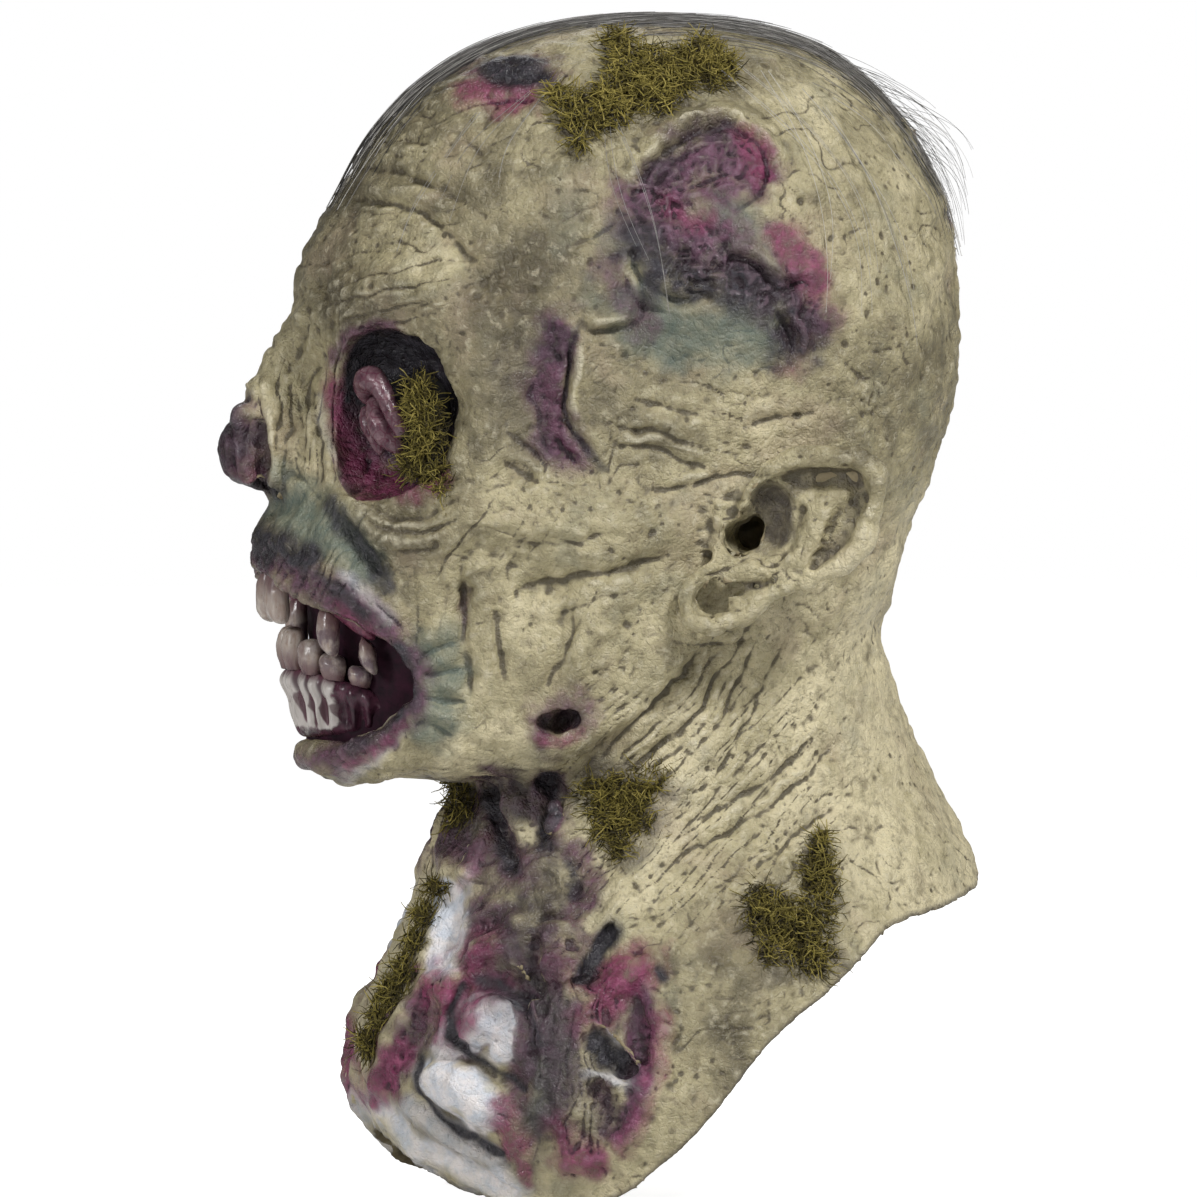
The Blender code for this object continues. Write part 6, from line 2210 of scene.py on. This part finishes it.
def moss_patch(name, node, middles, table, count, seed, surface, out=None, thick=4.5):
    """Fibres heaped over a patch. Middles are u, z and radius, or x, y, z and radius with out."""
    rng = np.random.default_rng(seed)
    weights = np.array([m[-1] ** 2 for m in middles])
    which = rng.choice(len(middles), count, p=weights / weights.sum())
    roots, normals = np.zeros((count, 3)), np.zeros((count, 3))
    heights = np.zeros(count)
    for i, middle in enumerate(middles):
        chosen = np.flatnonzero(which == i)
        radius = middle[-1] * np.sqrt(rng.random(len(chosen)))
        turn = rng.random(len(chosen)) * 2 * math.pi
        heap = thick * (1 - 0.75 * (radius / middle[-1]) ** 2) * rng.random(len(chosen))
        for j, r, t, h in zip(chosen, radius, turn, heap):
            if out is None:
                place, normal = place_on_loft(middle, r, t, table)
            else:
                place, normal = place_on_plane(middle, r, t, out)
            roots[j] = place + normal * (h - 0.3)
            heights[j] = h
            normals[j] = normal
    length = rng.uniform(*FIBRE_LENGTHS, count)
    paths = moss_paths(rng, roots, normals, length)
    taper = np.linspace(1, 0.45, paths.shape[1])
    radii = rng.uniform(*FIBRE_RADII, (count, 1)) * taper
    # painted shade: fibres low in a heap are darker than those on top, and moss in a hollow is
    # darker than on the crown
    shaded_share = 0.28 if table is HEAD and out is None else 0.55
    tone = np.clip(rng.beta(2.0, 2.4, count) + 0.14 * (heights - shaded_share * thick), 0, 1)
    moss = tubes(name, paths, radii, tone)
    moss.data.materials.append(surface)
    stands_for(moss, "moss", node)


# name, node, table, number of fibres, middles of u, z and radius
MOSS_PATCHES = (
    ("crown_moss", "moss_crown_main", HEAD, 2300, (
        (-22, 160, 5), (-19, 151, 7), (-10, 146, 9), (-24, 140, 7), (-2, 152, 7), (6, 156, 7),
        (11, 152, 6), (-12, 156, 4), (-27, 144, 4),
    )),
    ("front_crown_moss", "moss_crown_front", HEAD, 170, ((-42, 143, 4), (-36, 141, 3))),
    ("strip_crown_moss", "moss_crown_strip", HEAD, 240, (
        (-38, 135, 3), (-33, 135, 3), (-28, 134, 3), (-35, 128, 2.5),
    )),
    ("jaw_moss", "moss_jaw", NECK, 2000, (
        (-26, -86, 9), (-16, -86, 9), (-24, -96, 8), (-14, -95, 8), (-9, -83, 6), (-19, -105, 5),
        (-30, -82, 5),
    )),
    ("lower_shoulder_moss", "moss_shoulder_lower", NECK, 1500, (
        (28, -126, 8), (38, -130, 9), (30, -136, 7), (42, -138, 7), (44, -122, 6), (24, -120, 4),
    )),
    ("upper_shoulder_moss", "moss_shoulder_upper", NECK, 380, (
        (44, -114, 4.5), (44, -107, 3), (45, -101, 2),
    )),
    ("breastbone_moss", "moss_sternum", NECK, 1200, (
        (-82, -119, 3), (-86, -128, 3.2), (-89, -137, 3.4), (-92.5, -146, 3.8), (-96.5, -154, 4),
        (-100.5, -162, 4), (-104, -170, 4),
    )),
    ("throat_moss", "moss_throat", NECK, 300, ((-75, -86, 4), (-74, -92, 4), (-76, -98, 3))),
)


# the moss in the left eye: middles of x, y, z and radius, and the way that it faces
EYE_MOSS = (
    (53, -100, 46, 5), (55, -99, 40, 6), (56, -98, 33, 6), (55, -99, 26, 5), (57, -96, 20, 4),
    (50, -102, 22, 4), (61, -93, 15, 3.5),
)
EYE_MOSS_OUT = (0.66, -0.75, 0)


def build_moss(surface):
    for seed, (name, node, table, count, middles) in enumerate(MOSS_PATCHES, 300):
        moss_patch(name, node, middles, table, count, seed, surface)
    moss_patch("eye_moss", "moss_eye", EYE_MOSS, HEAD, 1400, 320, surface, EYE_MOSS_OUT, 5.0)


def on_head(directions, centre):
    """Where rays from a point inside the head meet its plain loft."""
    low, high = np.zeros(len(directions)), np.full(len(directions), 200.0)
    for _ in range(22):
        middle = (low + high) / 2
        place = centre + directions * middle[:, None]
        z = np.minimum(place[:, 2], HEAD[-1, 0] - 0.01)
        out = loft_field(HEAD, np.abs(place[:, 0]), place[:, 1], z) > 0
        out |= place[:, 2] > HEAD[-1, 0]
        high, low = np.where(out, middle, high), np.where(out, low, middle)
    return centre + directions * low[:, None]


# the middle of the cranium, which the combed hair runs round
HAIR_CENTRE = np.array((0.0, -8.0, 80.0))
DARK_HAIR_SHARE = 0.45


def hair_layer(name, node, count, side, first, last, spread, lift, seed, surface):
    """Long thin hair combed back over the crown: first and last are angles from the front."""
    rng = np.random.default_rng(seed)
    steps = 26
    start = rng.uniform(first, last - 12, count)
    span = rng.uniform(35, 75, count)
    angle = start[:, None] + span[:, None] * np.linspace(0, 1, steps)
    angle = np.minimum(angle, last + 14 * rng.random((count, 1)))
    away = side * spread * np.abs(rng.normal(0, 0.5, (count, 1)))
    away = away + side * rng.normal(0, 1, (count, 1)) * np.linspace(0, 5, steps)
    away = away + 1.2 * np.sin(np.linspace(0, 1, steps) * 9 + rng.uniform(0, 6, (count, 1)))
    turn = np.radians(angle)
    directions = np.stack([away / 80, -np.cos(turn), np.sin(turn)], axis=-1)
    directions /= np.linalg.norm(directions, axis=2, keepdims=True)
    places = on_head(directions.reshape(-1, 3), HAIR_CENTRE).reshape(count, steps, 3)
    rise = lift * rng.random((count, 1)) * np.linspace(0.15, 1, steps) ** 1.2 + 0.25
    places = places + directions * rise[..., None]
    radii = rng.uniform(0.09, 0.17, (count, 1)) * np.linspace(1, 0.5, steps)
    dark = rng.random(count) < DARK_HAIR_SHARE
    tone = np.where(dark, rng.uniform(0, 0.45, count), rng.uniform(0.5, 1, count))
    hair = tubes(name, places, radii, tone)
    hair.data.materials.append(surface)
    stands_for(hair, "hair", node)


STRAY_HAIRS = 150
# the furthest back that loose hair reaches
BACK_LIMIT = 97


def stray_locks(surface):
    """Loose hair that leaves the back of the crown and stays in front of BACK_LIMIT."""
    rng = np.random.default_rng(77)
    count, steps = STRAY_HAIRS, 22
    t = np.linspace(0, 1, steps)
    y0 = rng.uniform(20, 70, count)
    z0 = 160 - 0.0125 * (y0 - 20) ** 2 + rng.uniform(-4, 4, count)
    z0 = np.minimum(z0, 162 - 0.62 * (y0 - 40))
    reach, fall = rng.uniform(14, 52, count), rng.uniform(10, 46, count)
    bend = rng.uniform(1.1, 1.9, count)
    y = y0[:, None] + reach[:, None] * t ** 0.85
    z = z0[:, None] - fall[:, None] * t ** bend[:, None]
    x = rng.uniform(2, 22, (count, 1)) + rng.normal(0, 4, (count, 1)) * t
    x = x + 1.2 * np.sin(4 * t + rng.uniform(0, 6, (count, 1)))
    paths = np.stack([x, BACK_LIMIT - 10 * np.logaddexp(0, (BACK_LIMIT - y) / 10), z], axis=-1)
    radii = rng.uniform(0.07, 0.13, (count, 1)) * np.linspace(1, 0.5, steps)
    tone = rng.uniform(0.1, 0.95, count)
    hair = tubes("stray_hair", paths, radii, tone)
    hair.data.materials.append(surface)
    stands_for(hair, "hair", "hair_stray_lock")


LONG_STRAND_RADIUS = 0.11


def long_strands(surface):
    """A few long pale hairs that lie loose over the side of the head."""
    rng = np.random.default_rng(91)
    paths = []
    for (u0, z0), (u1, z1), bow in LONG_STRANDS:
        for _ in range(2):
            shift = rng.normal(0, 1.5, 4)
            path = []
            for share in np.linspace(0, 1, 30):
                u = u0 + shift[0] + (u1 + shift[1] - u0) * share + bow * math.sin(math.pi * share)
                z = z0 + (z1 + shift[2] * 2 - z0) * share
                path.append(near_point(u, z, HEAD, 1.6 + 0.5 * math.sin(9 * share + shift[3])))
            paths.append(path)
    paths = np.array(paths)
    radii = np.full((len(paths), 1), LONG_STRAND_RADIUS) * np.linspace(1, 0.6, 30)
    hair = tubes("long_side_hair", paths, radii, rng.uniform(0.7, 1.0, len(paths)))
    hair.data.materials.append(surface)
    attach(hair, BODY)


# first and last place, u and z, and how far the middle bows
LONG_STRANDS = (
    ((-28, 146), (-6, 74), 4), ((-24, 150), (-14, 92), -5), ((5, 156), (56, 70), 16),
    ((14, 156), (62, 84), 12), ((-40, 150), (-62, 112), -4), ((-52, 145), (-78, 104), -5),
    ((26, 152), (46, 78), 8), ((-66, 138), (-92, 96), -3), ((36, 146), (72, 76), 7),
    ((44, 140), (76, 62), 6), ((-10, 156), (-34, 132), -6),
)


# part of the head, number of hairs, first and last angle from the front, how far the hairs
# spread to the side and stand off the head, and the step of the seed
HAIR_LAYERS = (("front", 170, 12, 95, 14, 2.2, 0), ("back", 420, 70, 160, 26, 3.5, 10))


def build_hair(surface):
    for word, side, seed in (("left", 1, 81), ("right", -1, 82)):
        for part, count, first, last, spread, lift, step in HAIR_LAYERS:
            hair_layer(
                f"{word}_{part}_hair", f"hair_{part}_{word}", count, side, first, last, spread,
                lift, seed + step, surface,
            )
    stray_locks(surface)
    long_strands(surface)


# Stage

def stage():
    scene = bpy.context.scene
    scene.view_settings.view_transform = "Standard"
    direction = Vector((
        math.sin(VIEW_AZIMUTH) * math.cos(VIEW_ELEVATION),
        -math.cos(VIEW_AZIMUTH) * math.cos(VIEW_ELEVATION),
        math.sin(VIEW_ELEVATION),
    ))
    u, v = FRAME_CENTRE
    target = Vector((ACROSS[0] * u, ACROSS[1] * u, v)) * MM
    data = bpy.data.cameras.new("camera")
    data.sensor_width = SENSOR_WIDTH
    data.lens = SENSOR_WIDTH * VIEW_DISTANCE / FRAME_WIDTH
    data.clip_end = 50.0
    camera = bpy.data.objects.new("camera", data)
    camera.location = target + direction * VIEW_DISTANCE
    camera.rotation_euler = direction.to_track_quat("Z", "Y").to_euler()
    scene.collection.objects.link(camera)
    scene.camera = camera

    world = bpy.data.worlds.new("studio")
    world.use_nodes = True
    nodes, links = world.node_tree.nodes, world.node_tree.links
    soft = nodes["Background"]
    soft.inputs["Color"].default_value = (1.0, 0.985, 0.96, 1)
    soft.inputs["Strength"].default_value = WORLD_LIGHT
    backdrop = nodes.new("ShaderNodeBackground")
    backdrop.inputs["Color"].default_value = (1, 1, 1, 1)
    pick = nodes.new("ShaderNodeMixShader")
    links.new(nodes.new("ShaderNodeLightPath").outputs["Is Camera Ray"], pick.inputs["Fac"])
    links.new(soft.outputs["Background"], pick.inputs[1])
    links.new(backdrop.outputs["Background"], pick.inputs[2])
    links.new(pick.outputs["Shader"], nodes["World Output"].inputs["Surface"])
    scene.world = world
    lay_floor(scene)
    for name, place, size, power in LAMPS:
        light = bpy.data.lights.new(name, "AREA")
        light.shape = "DISK"
        light.size = size
        light.energy = power
        lamp = bpy.data.objects.new(name, light)
        lamp.location = place
        lamp.rotation_euler = Vector(place).to_track_quat("Z", "Y").to_euler()
        scene.collection.objects.link(lamp)


def lay_floor(scene):
    """A pale floor just under the hem, large enough that its far edge is lost in the backdrop."""
    mesh = bpy.data.meshes.new("floor")
    half, level = FLOOR_HALF_WIDTH, CAD_BOX[0][2] - FLOOR_GAP
    signs = ((-1, -1), (1, -1), (1, 1), (-1, 1))
    corners = [(half * a, half * b, level) for a, b in signs]
    mesh.from_pydata(corners, [], [(0, 1, 2, 3)])
    floor = bpy.data.objects.new("floor", mesh)
    paint = Paint("pale_floor", 0.9)
    pale = paint.colours(paint.noise(300, 3), (
        (0.3, (0.80, 0.80, 0.795)), (0.7, (0.84, 0.84, 0.835)),
    ))
    # the camera sees it white, like the backdrop, while it lights the mask only as pale paint would
    seen = paint.node("ShaderNodeLightPath").outputs["Is Camera Ray"]
    paint.shader.inputs["Emission Color"].default_value = (1, 1, 1, 1)
    paint.feed(paint.shader.inputs["Emission Strength"], paint.times(seen, FLOOR_GLOW))
    mesh.materials.append(paint.finish(pale, paint.bump(paint.noise(3, 2), 0.02)))
    scene.collection.objects.link(floor)


def main():
    stage()
    build_skin(painted_latex(), raw_latex())
    build_mouth(stained_tooth(), jaw_bone(), wet_gum())
    build_mouth_shade_sheet(mouth_shade_sheet())
    gauze, tissue = black_gauze(), torn_tissue()
    for word, side in (("left", 1), ("right", -1)):
        build_eye(word, side, gauze, tissue)
    build_moss(dry_moss())
    build_hair(grey_hair())


main()
